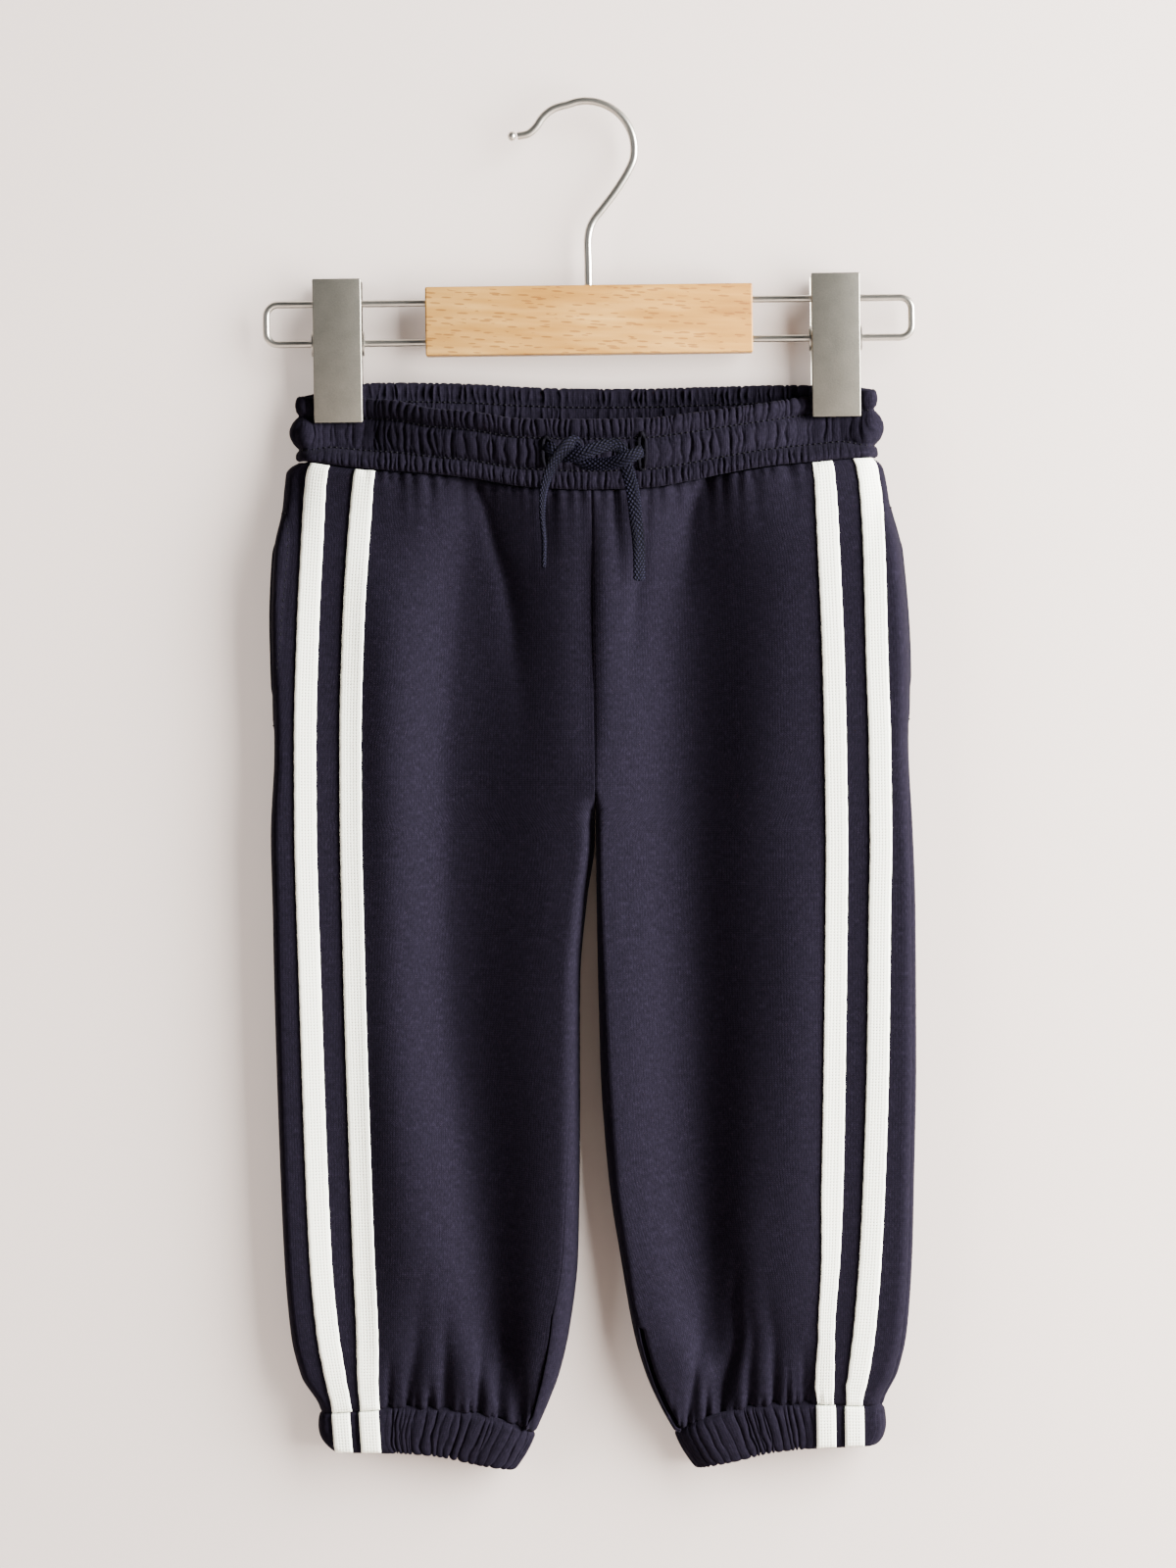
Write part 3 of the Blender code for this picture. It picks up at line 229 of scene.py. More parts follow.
CREASES = {
    "right_front": (
        ((155, 51.0, 1.2, 2.0, 1.5), (160, 50.0, 1.3, 2.6, 1.7), (172, 46.4, 1.5, 3.2, 1.9),
         (188, 42.4, 1.9, 4.2, 2.2), (205, 38.2, 2.6, 6.0, 2.5), (226, 35.4, 4.4, 8.0, 2.0),
         (252, 31.7, 7.0, 10.0, 0.8), (286, 30.0, 9.0, 11.0, 0.0)),
        ((160, 22.4, 1.6, 1.6, 1.4), (178, 21.0, 2.4, 2.4, 0.9), (200, 19.5, 4.0, 4.0, 0.0)),
        ((159, 33.5, 1.4, 1.4, 0.7), (166, 33.0, 1.8, 2.0, 0.3), (176, 32.0, 2.4, 2.6, 0.0)),
        ((157, 67.0, 1.4, 1.4, 1.0), (170, 67.8, 2.2, 2.2, 0.6), (190, 69.0, 3.5, 3.5, 0.0)),
        ((156, 82.0, 1.4, 1.4, 0.9), (166, 83.0, 2.2, 2.2, 0.5), (182, 84.0, 3.0, 3.0, 0.0)),
        ((562, 83.4, 1.0, 1.2, 2.0), (550, 82.4, 1.8, 2.6, 1.9), (527, 78.8, 4.5, 5.0, 1.3),
         (488, 76.0, 8.0, 8.0, 0.0)),
        ((562, 74.1, 0.9, 1.1, 1.9), (554, 73.6, 1.4, 1.8, 1.3), (543, 72.6, 2.4, 2.4, 0.0)),
        ((561, 67.2, 1.0, 1.2, 2.1), (548, 66.9, 2.0, 2.8, 2.2), (525, 66.4, 4.0, 5.0, 1.4),
         (496, 65.0, 7.0, 7.0, 0.0)),
        ((563, 53.8, 0.9, 1.2, 2.2), (552, 52.6, 1.8, 2.8, 2.2), (530, 50.0, 3.6, 4.0, 1.2),
         (503, 48.0, 6.0, 6.0, 0.0)),
        ((565, 44.6, 0.9, 1.2, 2.2), (554, 43.8, 1.6, 2.6, 2.4), (538, 42.8, 2.8, 3.6, 1.6),
         (510, 43.5, 4.0, 5.0, 0.0)),
        ((566, 36.4, 0.9, 1.1, 1.7), (557, 35.6, 1.4, 1.8, 1.2), (545, 34.0, 2.4, 2.4, 0.0)),
        ((566, 28.0, 1.4, 1.4, 1.4), (552, 25.0, 2.4, 2.4, 1.4), (528, 21.0, 4.0, 4.0, 0.0)),
        ((561, 91.5, 1.4, 1.4, 1.2), (550, 90.6, 2.2, 2.2, 1.2), (530, 89.5, 4.0, 4.0, 0.0)),
    ),
    "left_front": (
        ((155, 50.5, 2.4, 1.6, 2.4), (160, 49.6, 4.0, 2.0, 3.0), (176, 43.4, 5.5, 2.6, 2.2),
         (192, 40.6, 6.5, 3.4, 1.6), (220, 38.0, 8.0, 5.0, 0.0)),
        ((166, 10.6, 1.6, 2.4, 1.1), (178, 10.8, 2.0, 3.4, 1.7), (198, 11.2, 2.8, 4.2, 1.3),
         (216, 11.6, 4.0, 4.0, 0.0)),
        ((160, 27.4, 1.6, 1.6, 1.2), (178, 24.0, 2.6, 2.8, 1.2), (206, 20.0, 4.5, 4.5, 2.2),
         (224, 18.0, 5.5, 6.0, 2.0), (242, 17.0, 7.0, 7.0, 1.0), (262, 16.5, 8.0, 8.0, 0.0)),
        ((158, 38.0, 1.4, 1.4, 1.0), (170, 37.0, 2.2, 2.2, 0.7), (184, 36.0, 3.0, 3.0, 0.0)),
        ((156, 70.0, 1.4, 1.4, 1.0), (170, 71.0, 2.2, 2.2, 0.6), (188, 72.0, 3.5, 3.5, 0.0)),
        ((155, 86.0, 1.4, 1.4, 0.9), (166, 87.0, 2.2, 2.2, 0.5), (180, 88.0, 3.0, 3.0, 0.0)),
        ((566, 36.5, 1.4, 1.4, 1.6), (550, 39.0, 3.0, 2.4, 2.0), (526, 43.0, 4.5, 4.5, 1.2),
         (496, 46.0, 7.0, 7.0, 0.0)),
        ((563, 44.9, 1.2, 0.9, 1.9), (554, 45.4, 2.0, 1.5, 1.6), (543, 46.4, 2.6, 2.2, 0.0)),
        ((562, 50.4, 1.2, 0.9, 2.2), (551, 51.6, 2.4, 1.8, 2.6), (530, 55.2, 4.4, 2.8, 2.5),
         (506, 56.6, 5.0, 4.0, 1.5), (486, 57.4, 6.0, 6.0, 0.0)),
        ((560, 62.4, 1.2, 0.9, 2.3), (548, 63.0, 2.6, 1.8, 2.0), (522, 63.6, 4.5, 4.0, 1.0),
         (492, 63.0, 6.0, 6.0, 0.0)),
        ((559, 73.8, 1.2, 0.9, 2.0), (546, 73.6, 2.4, 1.8, 1.8), (522, 72.4, 4.5, 4.0, 0.9),
         (494, 70.0, 6.0, 6.0, 0.0)),
        ((558, 86.6, 1.2, 0.9, 1.7), (548, 86.6, 2.0, 1.6, 1.3), (530, 86.2, 4.0, 4.0, 0.0)),
        ((569, 22.0, 1.4, 1.4, 1.2), (556, 20.0, 2.4, 2.4, 1.2), (534, 17.0, 4.0, 4.0, 0.0)),
    ),
    "right_back": (
        ((150, 60.0, 1.6, 1.6, 2.2), (168, 57.0, 2.6, 5.0, 2.6), (200, 52.0, 6.0, 8.0, 1.6),
         (240, 48.0, 9.0, 9.0, 0.0)),
        ((150, 31.0, 1.5, 1.5, 1.2), (165, 29.0, 2.4, 2.4, 0.9), (192, 27.0, 4.0, 4.0, 0.0)),
        ((150, 88.0, 1.5, 1.5, 1.4), (168, 87.0, 2.6, 2.6, 1.2), (205, 84.0, 6.0, 6.0, 0.0)),
        ((561, 70.0, 1.4, 1.4, 1.8), (545, 68.0, 3.0, 3.0, 2.2), (510, 65.0, 7.0, 7.0, 0.0)),
        ((559, 95.0, 1.4, 1.4, 1.4), (545, 94.0, 2.4, 2.4, 1.6), (515, 92.0, 6.0, 6.0, 0.0)),
        ((564, 46.0, 1.4, 1.4, 1.6), (550, 44.0, 2.4, 2.4, 1.8), (520, 41.0, 6.0, 6.0, 0.0)),
    ),
    "left_back": (
        ((150, 53.0, 1.6, 1.6, 2.2), (168, 50.0, 5.0, 2.6, 2.6), (200, 46.0, 8.0, 6.0, 1.6),
         (240, 43.0, 9.0, 9.0, 0.0)),
        ((150, 26.0, 1.5, 1.5, 1.2), (165, 24.6, 2.4, 2.4, 0.9), (192, 23.0, 4.0, 4.0, 0.0)),
        ((150, 81.0, 1.5, 1.5, 1.4), (168, 80.0, 2.6, 2.6, 1.2), (205, 78.0, 6.0, 6.0, 0.0)),
        ((561, 63.0, 1.4, 1.4, 1.8), (545, 64.0, 3.0, 3.0, 2.2), (508, 66.0, 7.0, 7.0, 0.0)),
        ((559, 88.0, 1.4, 1.4, 1.4), (545, 87.4, 2.4, 2.4, 1.6), (515, 86.0, 6.0, 6.0, 0.0)),
        ((565, 41.0, 1.4, 1.4, 1.6), (550, 41.6, 2.4, 2.4, 1.8), (522, 43.0, 6.0, 6.0, 0.0)),
    ),
}
FOLD_NAMES = "down x outer inner depth"

# The drawcord's two stretches, and the way each flat braid faces along it.
CORD_WIDTH = 5.6
CORD_THICKNESS = 1.9
CORD_GIRTH = 13.0
BRAID_ACROSS = 1.625
BRAID_ALONG = 2.5
CORD_ROUTES = {
    "drawcord_right_end": (
        (22.0, -19.0, -149.8), (20.6, -21.4, -150.2), (17.0, -23.6, -152.0),
        (12.5, -24.2, -154.0), (5.0, -22.6, -155.2), (-2.5, -20.9, -154.6),
        (-6.3, -20.2, -151.6), (-6.4, -20.6, -147.6), (-7.0, -23.0, -145.6),
        (-10.2, -25.2, -147.4), (-14.4, -25.2, -152.4), (-18.2, -23.2, -159.5),
        (-20.5, -20.6, -168.0), (-20.9, -19.0, -177.0), (-20.2, -18.4, -187.5),
        (-20.6, -18.3, -199.0),
    ),
    "drawcord_left_end": (
        (-19.1, -18.9, -145.9), (-17.6, -20.3, -147.6), (-14.6, -20.8, -150.4),
        (-9.5, -23.0, -151.6), (-4.0, -24.3, -150.6), (2.0, -23.4, -148.6),
        (8.2, -21.4, -146.9), (12.4, -20.3, -148.2), (14.4, -20.1, -152.4),
        (15.6, -20.8, -158.0), (17.6, -21.0, -166.5), (18.8, -19.6, -177.5),
        (20.0, -18.6, -190.0), (20.0, -18.4, -205.0),
    ),
}
# Degrees that the braid is turned about its own line, from its start to its end: 0 faces -Y.
CORD_TWISTS = {
    "drawcord_right_end": (0, 10, 15, 0, -20, -40, -62, -76, -82, -84),
    "drawcord_left_end": (0, 0, 0, 0, 0, -5, -10, -18, -28, -34),
}

# The hook's wire: up out of the block, out to the side and over the crown to its tip.
HOOK_STEM = ((0.0, -81.5), (0.0, -76.0), (0.0, -68.0), (0.0, -57.0))
HOOK_RISE = ((2.0, -50.2), (6.6, -44.2), (12.0, -37.2), (16.6, -30.2))
HOOK_CENTRE = (-0.4, -18.9)
HOOK_TURN_RADIUS = 20.65
HOOK_TURN = (-15.0, 112.0)
HOOK_TIP = ((-14.0, -1.4), (-18.6, -4.8), (-21.6, -9.0), (-25.0, -12.0), (-29.7, -13.0))
HOOK_BALL = (-32.1, -13.0)
HOOK_BALL_RADIUS = 2.1

# The camera: level, square to the garment, with a slight roll.
CAMERA_AT = (-2.85, -2500.0, -291.0)
CAMERA_ROLL = math.radians(0.7)
CAMERA_VIEW_HEIGHT = 672.0
SENSOR = 36.0
WALL_BEHIND = 14.5
FLOOR_DOWN = 760.0


# --- Reading the tables ------------------------------------------------------------------


def lerp(low, high, share):
    return low + (high - low) * share


def smooth(share):
    share = np.clip(share, 0, 1)
    return share * share * (3 - 2 * share)


def column_reader(keys, values):
    """A function that reads one table column anywhere, smooth and with no overshoot."""
    keys = np.array(keys, float)
    values = np.array(values, float)
    slopes = np.diff(values) / np.diff(keys)
    before, after = slopes[:-1], slopes[1:]
    total = np.where(before + after == 0, 1, before + after)
    inside = np.where(before * after > 0, 2 * before * after / total, 0)
    leans = np.concatenate(([slopes[0]], inside, [slopes[-1]]))

    def read(at):
        at = np.clip(at, keys[0], keys[-1])
        i = np.clip(np.searchsorted(keys, at, side="right") - 1, 0, len(keys) - 2)
        span = keys[i + 1] - keys[i]
        t = (at - keys[i]) / span
        return (
            (1 + 2 * t) * (1 - t) ** 2 * values[i]
            + t * t * (3 - 2 * t) * values[i + 1]
            + span * t * (1 - t) * ((1 - t) * leans[i] - t * leans[i + 1])
        )

    return read


def table(names, rows):
    """A table's columns by name, each a function of the first column."""
    columns = list(zip(*rows))
    return {
        name: column_reader(columns[0], column)
        for name, column in list(zip(names.split(), columns))[1:]
    }


WAIST = table(WAIST_NAMES, WAIST_ROWS)
DEPTHS = table(DEPTH_NAMES, DEPTH_ROWS)
CUFF = table(CUFF_NAMES, CUFF_ROWS)
LEGS = {
    "right": {"hand": -1, "inner_shares": (0.26, 0.38, 0.40), "side_share": 1.0,
              "cuff_round": 1.6, "cuff_taper": (6.2, 3.6),
              "last": RIGHT_LEG_ROWS[-1], "first": RIGHT_LEG_ROWS[0],
              **table(LEG_NAMES, RIGHT_LEG_ROWS)},
    "left": {"hand": 1, "inner_shares": (0.08, 0.23, 0.13), "side_share": 1.9,
              "cuff_round": 3.6, "cuff_taper": (3.6, 5.0),
             "last": LEFT_LEG_ROWS[-1], "first": LEFT_LEG_ROWS[0],
             **table(LEG_NAMES, LEFT_LEG_ROWS)},
}


def through(points, count):
    """Points evenly spaced along a smooth curve through the given points."""
    points = np.array(points, float)
    ends = np.vstack((2 * points[0] - points[1], points, 2 * points[-1] - points[-2]))
    t = np.arange(12)[:, None] / 12
    fine = []
    for a, b, c, d in zip(ends, ends[1:], ends[2:], ends[3:]):
        fine.append(
            0.5 * (2 * b + (c - a) * t + (2 * a - 5 * b + 4 * c - d) * t**2
                   + (3 * b - a - 3 * c + d) * t**3)
        )
    fine = np.vstack((*fine, points[-1:]))
    run = along(fine)
    goals = np.linspace(0, run[-1], count)
    return np.stack([np.interp(goals, run, fine[:, k]) for k in range(fine.shape[1])], 1)


def along(points):
    """The running length along a row of points."""
    steps = np.linalg.norm(np.diff(points, axis=0), axis=1)
    return np.concatenate(([0.0], np.cumsum(steps)))


# --- The form of the cloth ---------------------------------------------------------------


def ring(place, start, end, start_round, end_round, opened=0.0):
    """x at a place (0 to 6) on a flattened tube, and its lean: 1 on the front, -1 behind."""
    place = np.mod(place, 6)
    way = np.where(end > start, 1, -1)
    near_start = (place < 1) | (place > 5)
    start_turn = QUARTER * np.where(place < 1, place, place - 6)
    near_end = (place > 2) & (place < 4)
    end_turn = QUARTER * (3 - place)
    inwards = lerp(1 - np.cos(end_turn), np.abs(end_turn) / QUARTER, opened)
    across = np.where(place <= 2, place - 1, 5 - place)
    x = lerp(start + way * start_round, end - way * end_round, across)
    lean = np.where(place <= 2, 1.0, -1.0)
    x = np.where(near_start, start + way * start_round * (1 - np.cos(start_turn)), x)
    x = np.where(near_end, end - way * end_round * inwards, x)
    lean = np.where(near_start, np.sin(start_turn), lean)
    return x, np.where(near_end, np.sin(end_turn), lean)


def xyz(x, y, down):
    return np.stack(np.broadcast_arrays(x, y, -np.asarray(down, float)), -1)


def unit(vectors):
    return vectors / np.maximum(np.linalg.norm(vectors, axis=-1, keepdims=True), 1e-12)


def waist_point(place, share, out, drop=0.0):
    """The waistband's inner face at a share of its height, moved out by out.

    Its lower row of stitching runs closer to the seam at the two ends.
    """
    plain_share = share
    lowered = np.interp(share, *WAIST_END_SHARES)

    def inner_face(at):
        share = lerp(plain_share, lowered, waist_ends(at))
        x, lean = ring(at, WAIST_RIGHT, WAIST_LEFT, WAIST_ROUND, WAIST_ROUND)
        front = lean >= 0
        hang = smooth((share - WAIST_PINCH_SHARE) / (1 - WAIST_PINCH_SHARE))
        pinched = np.where(front, WAIST["front_pinch"](x), WAIST["back_pinch"](x))
        hung = np.where(front, WAIST["front_hang"](x), WAIST["back_hang"](x))
        top = np.where(front, WAIST["front_top"](x), WAIST["back_top"](x))
        seam = np.where(front, WAIST["front_seam"](x), WAIST["back_seam"](x))
        return xyz(x, -lean * lerp(pinched, hung, hang), lerp(top, seam, share) + drop)

    step = inner_face(place + 0.004) - inner_face(place - 0.004)
    outwards = unit(np.stack((step[..., 1], -step[..., 0], 0 * step[..., 0]), -1))
    return inner_face(place) + outwards * np.asarray(out)[..., None]


def cuff_point(leg, place, share, out=0.0, drop=0.0):
    """A cuff's inner face at a share of its height, moved out by out."""
    taper, power = leg["cuff_taper"]
    side = leg["side"](560) - WAIST_FACE - taper * np.maximum(share, 0) ** power
    inner = leg["last"][4] + WAIST_FACE + CUFF_INNER_IN * np.maximum(share, 0) ** 1.1
    hand = leg["hand"]

    def inner_face(at):
        start = np.where(np.mod(at, 6) < 3, leg["cuff_round"], CUFF_ROUND)
        x, lean = ring(at, side, inner, start, CUFF_ROUND)
        across = (side - x) / (side - inner)
        down = lerp(CUFF["seam"](across), CUFF["hem"](across), share) + drop
        return xyz(hand * x, -lean * CUFF_DEPTH, down)

    step = (inner_face(place + 0.004) - inner_face(place - 0.004)) * hand
    outwards = unit(np.stack((-step[..., 1], step[..., 0], 0 * step[..., 0]), -1))
    return inner_face(place) + outwards * np.asarray(out)[..., None]


def fold_tables(folds):
    """Every fold's rows as tables, with the two ends that it fades at."""
    made = {}
    for kind, paths in folds.items():
        made[kind] = []
        for rows in paths:
            rows = sorted(rows)
            made[kind].append((rows[0][0], rows[-1][0], table(FOLD_NAMES, rows)))
    return made


BROAD_TABLES = fold_tables(BROAD_FOLDS)
CREASE_TABLES = fold_tables(CREASES)


def fold_depth(tables, x, down, sharp):
    """How far in the folds take a point that is x from the middle."""
    total = np.zeros(np.broadcast(x, down).shape)
    for top, bottom, fold in tables:
        off = x - fold["x"](down)
        off = off / np.where(off > 0, fold["outer"](down), fold["inner"](down))
        shape = np.exp(0.3 - np.sqrt(off * off + 0.09)) if sharp else np.exp(-off * off)
        inside = smooth((down - top) / 3 + 1) * smooth((bottom - down) / 3 + 1)
        total = total + fold["depth"](down) * shape * inside
    return total


def crotch_open(down):
    """1 where the hips are one tube, 0 below the crotch, where the legs have parted."""
    share = np.clip((down - CROTCH_DOWN + CROTCH_SPLIT) / CROTCH_SPLIT, 0, 1)
    return (1 + np.cos(math.pi * share)) / 2


def rounds(leg, place, down):
    """How wide a leg's side and inner edges round over, on the front and behind."""
    front = np.mod(place, 6) < 3
    side = np.where(front, leg["side_share"] * DEPTHS["side_round"](down), DEPTHS["back_round"](down))
    share = np.interp(down, INNER_SHARE_DOWNS, leg["inner_shares"])
    return side, DEPTHS["inner_round"](down) * np.where(front, share, 1)


def row_ends(leg, place, face):
    """How far down a panel's line at a place starts and ends."""
    side, inner = leg["first"][1], 0.0
    top_x, _ = ring(place, side, inner, *rounds(leg, place, leg["first"][0]), 1)
    top = WAIST[face + "_seam"](leg["hand"] * top_x) + SEAM_GAP
    side, inner = leg["last"][1], leg["last"][4]
    low_x, _ = ring(place, side, inner, *rounds(leg, place, leg["last"][0]))
    return top, CUFF["seam"]((side - low_x) / (side - inner)) - SEAM_GAP


def leg_point(name, place, level, face):
    """A leg's plain outer face. level is 0 at the waist seam, 1 at the crotch, 2 at the cuff."""
    leg = LEGS[name]
    hand = leg["hand"]
    top, bottom = row_ends(leg, place, face)
    down = np.where(
        level <= 1, lerp(top, CROTCH_DOWN, level), lerp(CROTCH_DOWN, bottom, level - 1)
    )
    side, inner = leg["side"](down), leg["inner"](down)
    opened = crotch_open(down)
    x, lean = ring(place, side, inner, *rounds(leg, place, down), opened)
    front = (lean > 0) | ((lean == 0) & (face == "front"))
    depth = np.where(front, DEPTHS["front"](down), DEPTHS["back"](down))
    at_end = (np.mod(place, 6) > 2) & (np.mod(place, 6) < 4)
    lean = np.where(at_end, lerp(lean, 1 if face == "front" else -1, opened), lean)
    sign = np.where(lean >= 0, 1, -1)
    settle = smooth(1 - (down - top) / WAIST_SETTLES)
    edge = np.maximum(0, 1 - (side - x) / (WAIST_ROUND + WAIST_FACE))
    hang = np.where(
        front, WAIST["front_hang"](hand * x), WAIST["back_hang"](hand * x)
    ) + WAIST_FACE
    waist_lean = sign * np.sqrt(np.maximum(0, 1 - edge * edge)) * hang / depth
    lean = lerp(lean, waist_lean, settle)
    tables = BROAD_TABLES[name + "_front"], BROAD_TABLES[name + "_back"]
    inwards = np.where(
        front, fold_depth(tables[0], x, down, False), fold_depth(tables[1], x, down, False)
    ) * np.abs(lean)
    return xyz(hand * x, sign * inwards - lean * depth, down)


def leg_normal(name, place, level, face, first, last):
    """The outward normal of a leg's plain outer face, read between two places."""
    step = 0.004
    low, high = np.minimum(first, last), np.maximum(first, last)
    before = leg_point(name, np.maximum(place - step, low), level, face)
    after = leg_point(name, np.minimum(place + step, high), level, face)
    above = leg_point(name, place, np.maximum(level - step, 0), face)
    below = leg_point(name, place, np.minimum(level + step, 2), face)
    return unit(np.cross(after - before, below - above) * LEGS[name]["hand"])


def pocket_open(down):
    """1 along a pocket's mouth, 0 past its ends."""
    past = np.minimum(down - POCKET_TOP, POCKET_BOTTOM - down)
    return smooth(past / POCKET_END + 0.5)


def arc_place(wrap, radius):
    return np.arccos(1 - np.minimum(wrap, radius) / radius) / QUARTER


def side_place(name, level, face):
    """The place of a panel's edge at the side seam."""
    leg = LEGS[name]
    down = -leg_point(name, 0.0, level, face)[..., 2]
    gap = POCKET_FRONT_GAP if face == "front" else POCKET_BACK_GAP
    half = lerp(HALF_GAP, gap, pocket_open(down)) / DEPTHS[face](down) / QUARTER
    half = np.where(level < 0.1, half * 3, half)
    seam = arc_place(leg["side_wrap"](down), leg["side_share"] * DEPTHS["side_round"](down))
    return seam + half if face == "front" else seam - half


def inner_place(name, level, face):
    """The place of a panel's edge at the middle of the hips, and below that at the inseam."""
    down = -leg_point(name, 3.0, level, face)[..., 2]
    _, radius = rounds(LEGS[name], 2.9, down)
    turn = arc_place(LEGS[name]["inseam_wrap"](down), radius)
    speed = np.hypot(
        radius * np.sin(turn * QUARTER), DEPTHS["back"](down) * np.cos(turn * QUARTER)
    )
    half = HALF_GAP / speed / QUARTER
    return 3 - turn - half if face == "front" else -3 - turn + half


def front_place(name, down, x):
    """The place on a leg's front that is x from the middle at a height."""
    leg = LEGS[name]
    side = leg["side"](down)
    radius, inner_radius = rounds(leg, 1.0, down)
    flat_end = leg["inner"](down) + inner_radius
    flat = 1 + (side - radius - x) / (side - radius - flat_end)
    return np.where(side - x < radius, arc_place(np.maximum(side - x, 0), radius), flat)


def tape_width(name, tape, down):
    """The tapes are drawn a little narrower at the waist seam and towards the cuffs."""
    ends = smooth((down - 530) / 28) + 0.5 * smooth((180 - down) / 25)
    width = TAPE_WIDTH - TAPE_NARROWS * ends
    slims = TAPE_SLIMS.get((name, tape))
    return width if slims is None else width - np.interp(down, *slims)


def tape_places(name, tape, level, shares):
    """Places across a tape, from its outer edge (0) to its inner edge (1)."""
    place = np.full(np.broadcast(level, shares).shape, 1.1)
    for _ in range(6):
        down = -leg_point(name, place, level, "front")[..., 2]
        outer = LEGS[name][tape](down) - TAPE_TRIM
        place = front_place(name, down, outer - shares * tape_width(name, tape, down))
    return place, down


# --- Creases and gathers -----------------------------------------------------------------


def wander(values, seed, pitch):
    """A smooth random line, -1 to 1, with a bend about every pitch."""
    dice = np.random.default_rng(seed)
    knots = dice.uniform(-1, 1, 400)
    at = np.asarray(values) / pitch + 200
    low = np.clip(np.floor(at).astype(int), 0, 398)
    return lerp(knots[low], knots[low + 1], smooth(at - low))


def crease_depth(kind, x, down, to_waist, to_cuff):
    """How far in the creases, the seams' small pleats and the cloth's sway take it."""
    seed = sum(map(ord, kind))
    swayed = x + 0.9 * wander(down, seed + 9, 16.0)
    total = fold_depth(CREASE_TABLES[kind], swayed, down, True)
    total = total * (1 + 0.35 * smooth((down - 500) / 30))
    between = smooth((100 - x) / 8)
    wave = np.abs(np.sin(x / 5.6 * math.pi + 2.6 * wander(x, seed, 13.0)))
    reach = 5.5 + 4.0 * wander(x, seed + 1, 9.0)
    waist_pleats = 1.9 * (1 - wave) ** 1.6 * np.exp(-to_waist / reach) * between
    low_wave = np.abs(np.sin(x / 4.3 * math.pi + 3.0 * wander(x, seed + 2, 10.0)))
    low_reach = 5.5 + 4.5 * wander(x, seed + 3, 7.0)
    low_deep = 2.3 + 1.3 * wander(x, seed + 6, 5.0)
    cuff_pleats = low_deep * (1 - low_wave) ** 1.7 * np.exp(-to_cuff / low_reach) * between
    fine_wave = np.abs(np.sin(x / 2.2 * math.pi + 2.4 * wander(x, seed + 7, 6.0)))
    cuff_pleats += 1.2 * (1 - fine_wave) ** 1.5 * np.exp(-to_cuff / 3.2) * between
    sway = 0.55 * wander(x + 0.12 * down, seed + 4, 22.0) * wander(down, seed + 5, 55.0)
    fade = smooth(to_waist / 25) * smooth(to_cuff / 25) * between
    return total * smooth((103 - x) / 10) + waist_pleats + cuff_pleats + sway * fade


def gathers(run, length, count, seed, shares, marks, uneven, spread, roundness):
    """Depth, 0 on a crest to 1 in a crease, of a ring's gathers: rows by shares, columns by run.

    The gathers' widths differ by uneven. Each crease wanders by spread, a share of their
    pitch, and deepens on its own between the marked shares.
    """
    dice = np.random.default_rng(seed)
    base = np.cumsum(dice.uniform(1 - uneven, 1 + uneven, count))
    base *= length / base[-1]
    shift = spread * length / count * dice.uniform(-1, 1, (count, len(marks)))
    deep = dice.uniform(0.25, 1, (count, 1)) * dice.uniform(0.45, 1.1, (count, len(marks)))
    field = np.zeros((len(shares), len(run)))
    for row, share in enumerate(shares):
        at = base + np.array([np.interp(share, marks, s) for s in shift])
        order = np.argsort(at)
        at = at[order]
        depth = np.array([np.interp(share, marks, d) for d in deep])[order]
        at = np.concatenate((at[-2:] - length, at, at[:2] + length))
        depth = np.concatenate((depth[-2:], depth, depth[:2]))
        i = np.clip(np.searchsorted(at, run, side="right") - 1, 0, len(at) - 2)
        t = (run - at[i]) / (at[i + 1] - at[i])
        crest = (4 * t * (1 - t)) ** roundness
        field[row] = lerp(depth[i], depth[i + 1], t) * (1 - crest)
    return field


# --- Materials ---------------------------------------------------------------------------


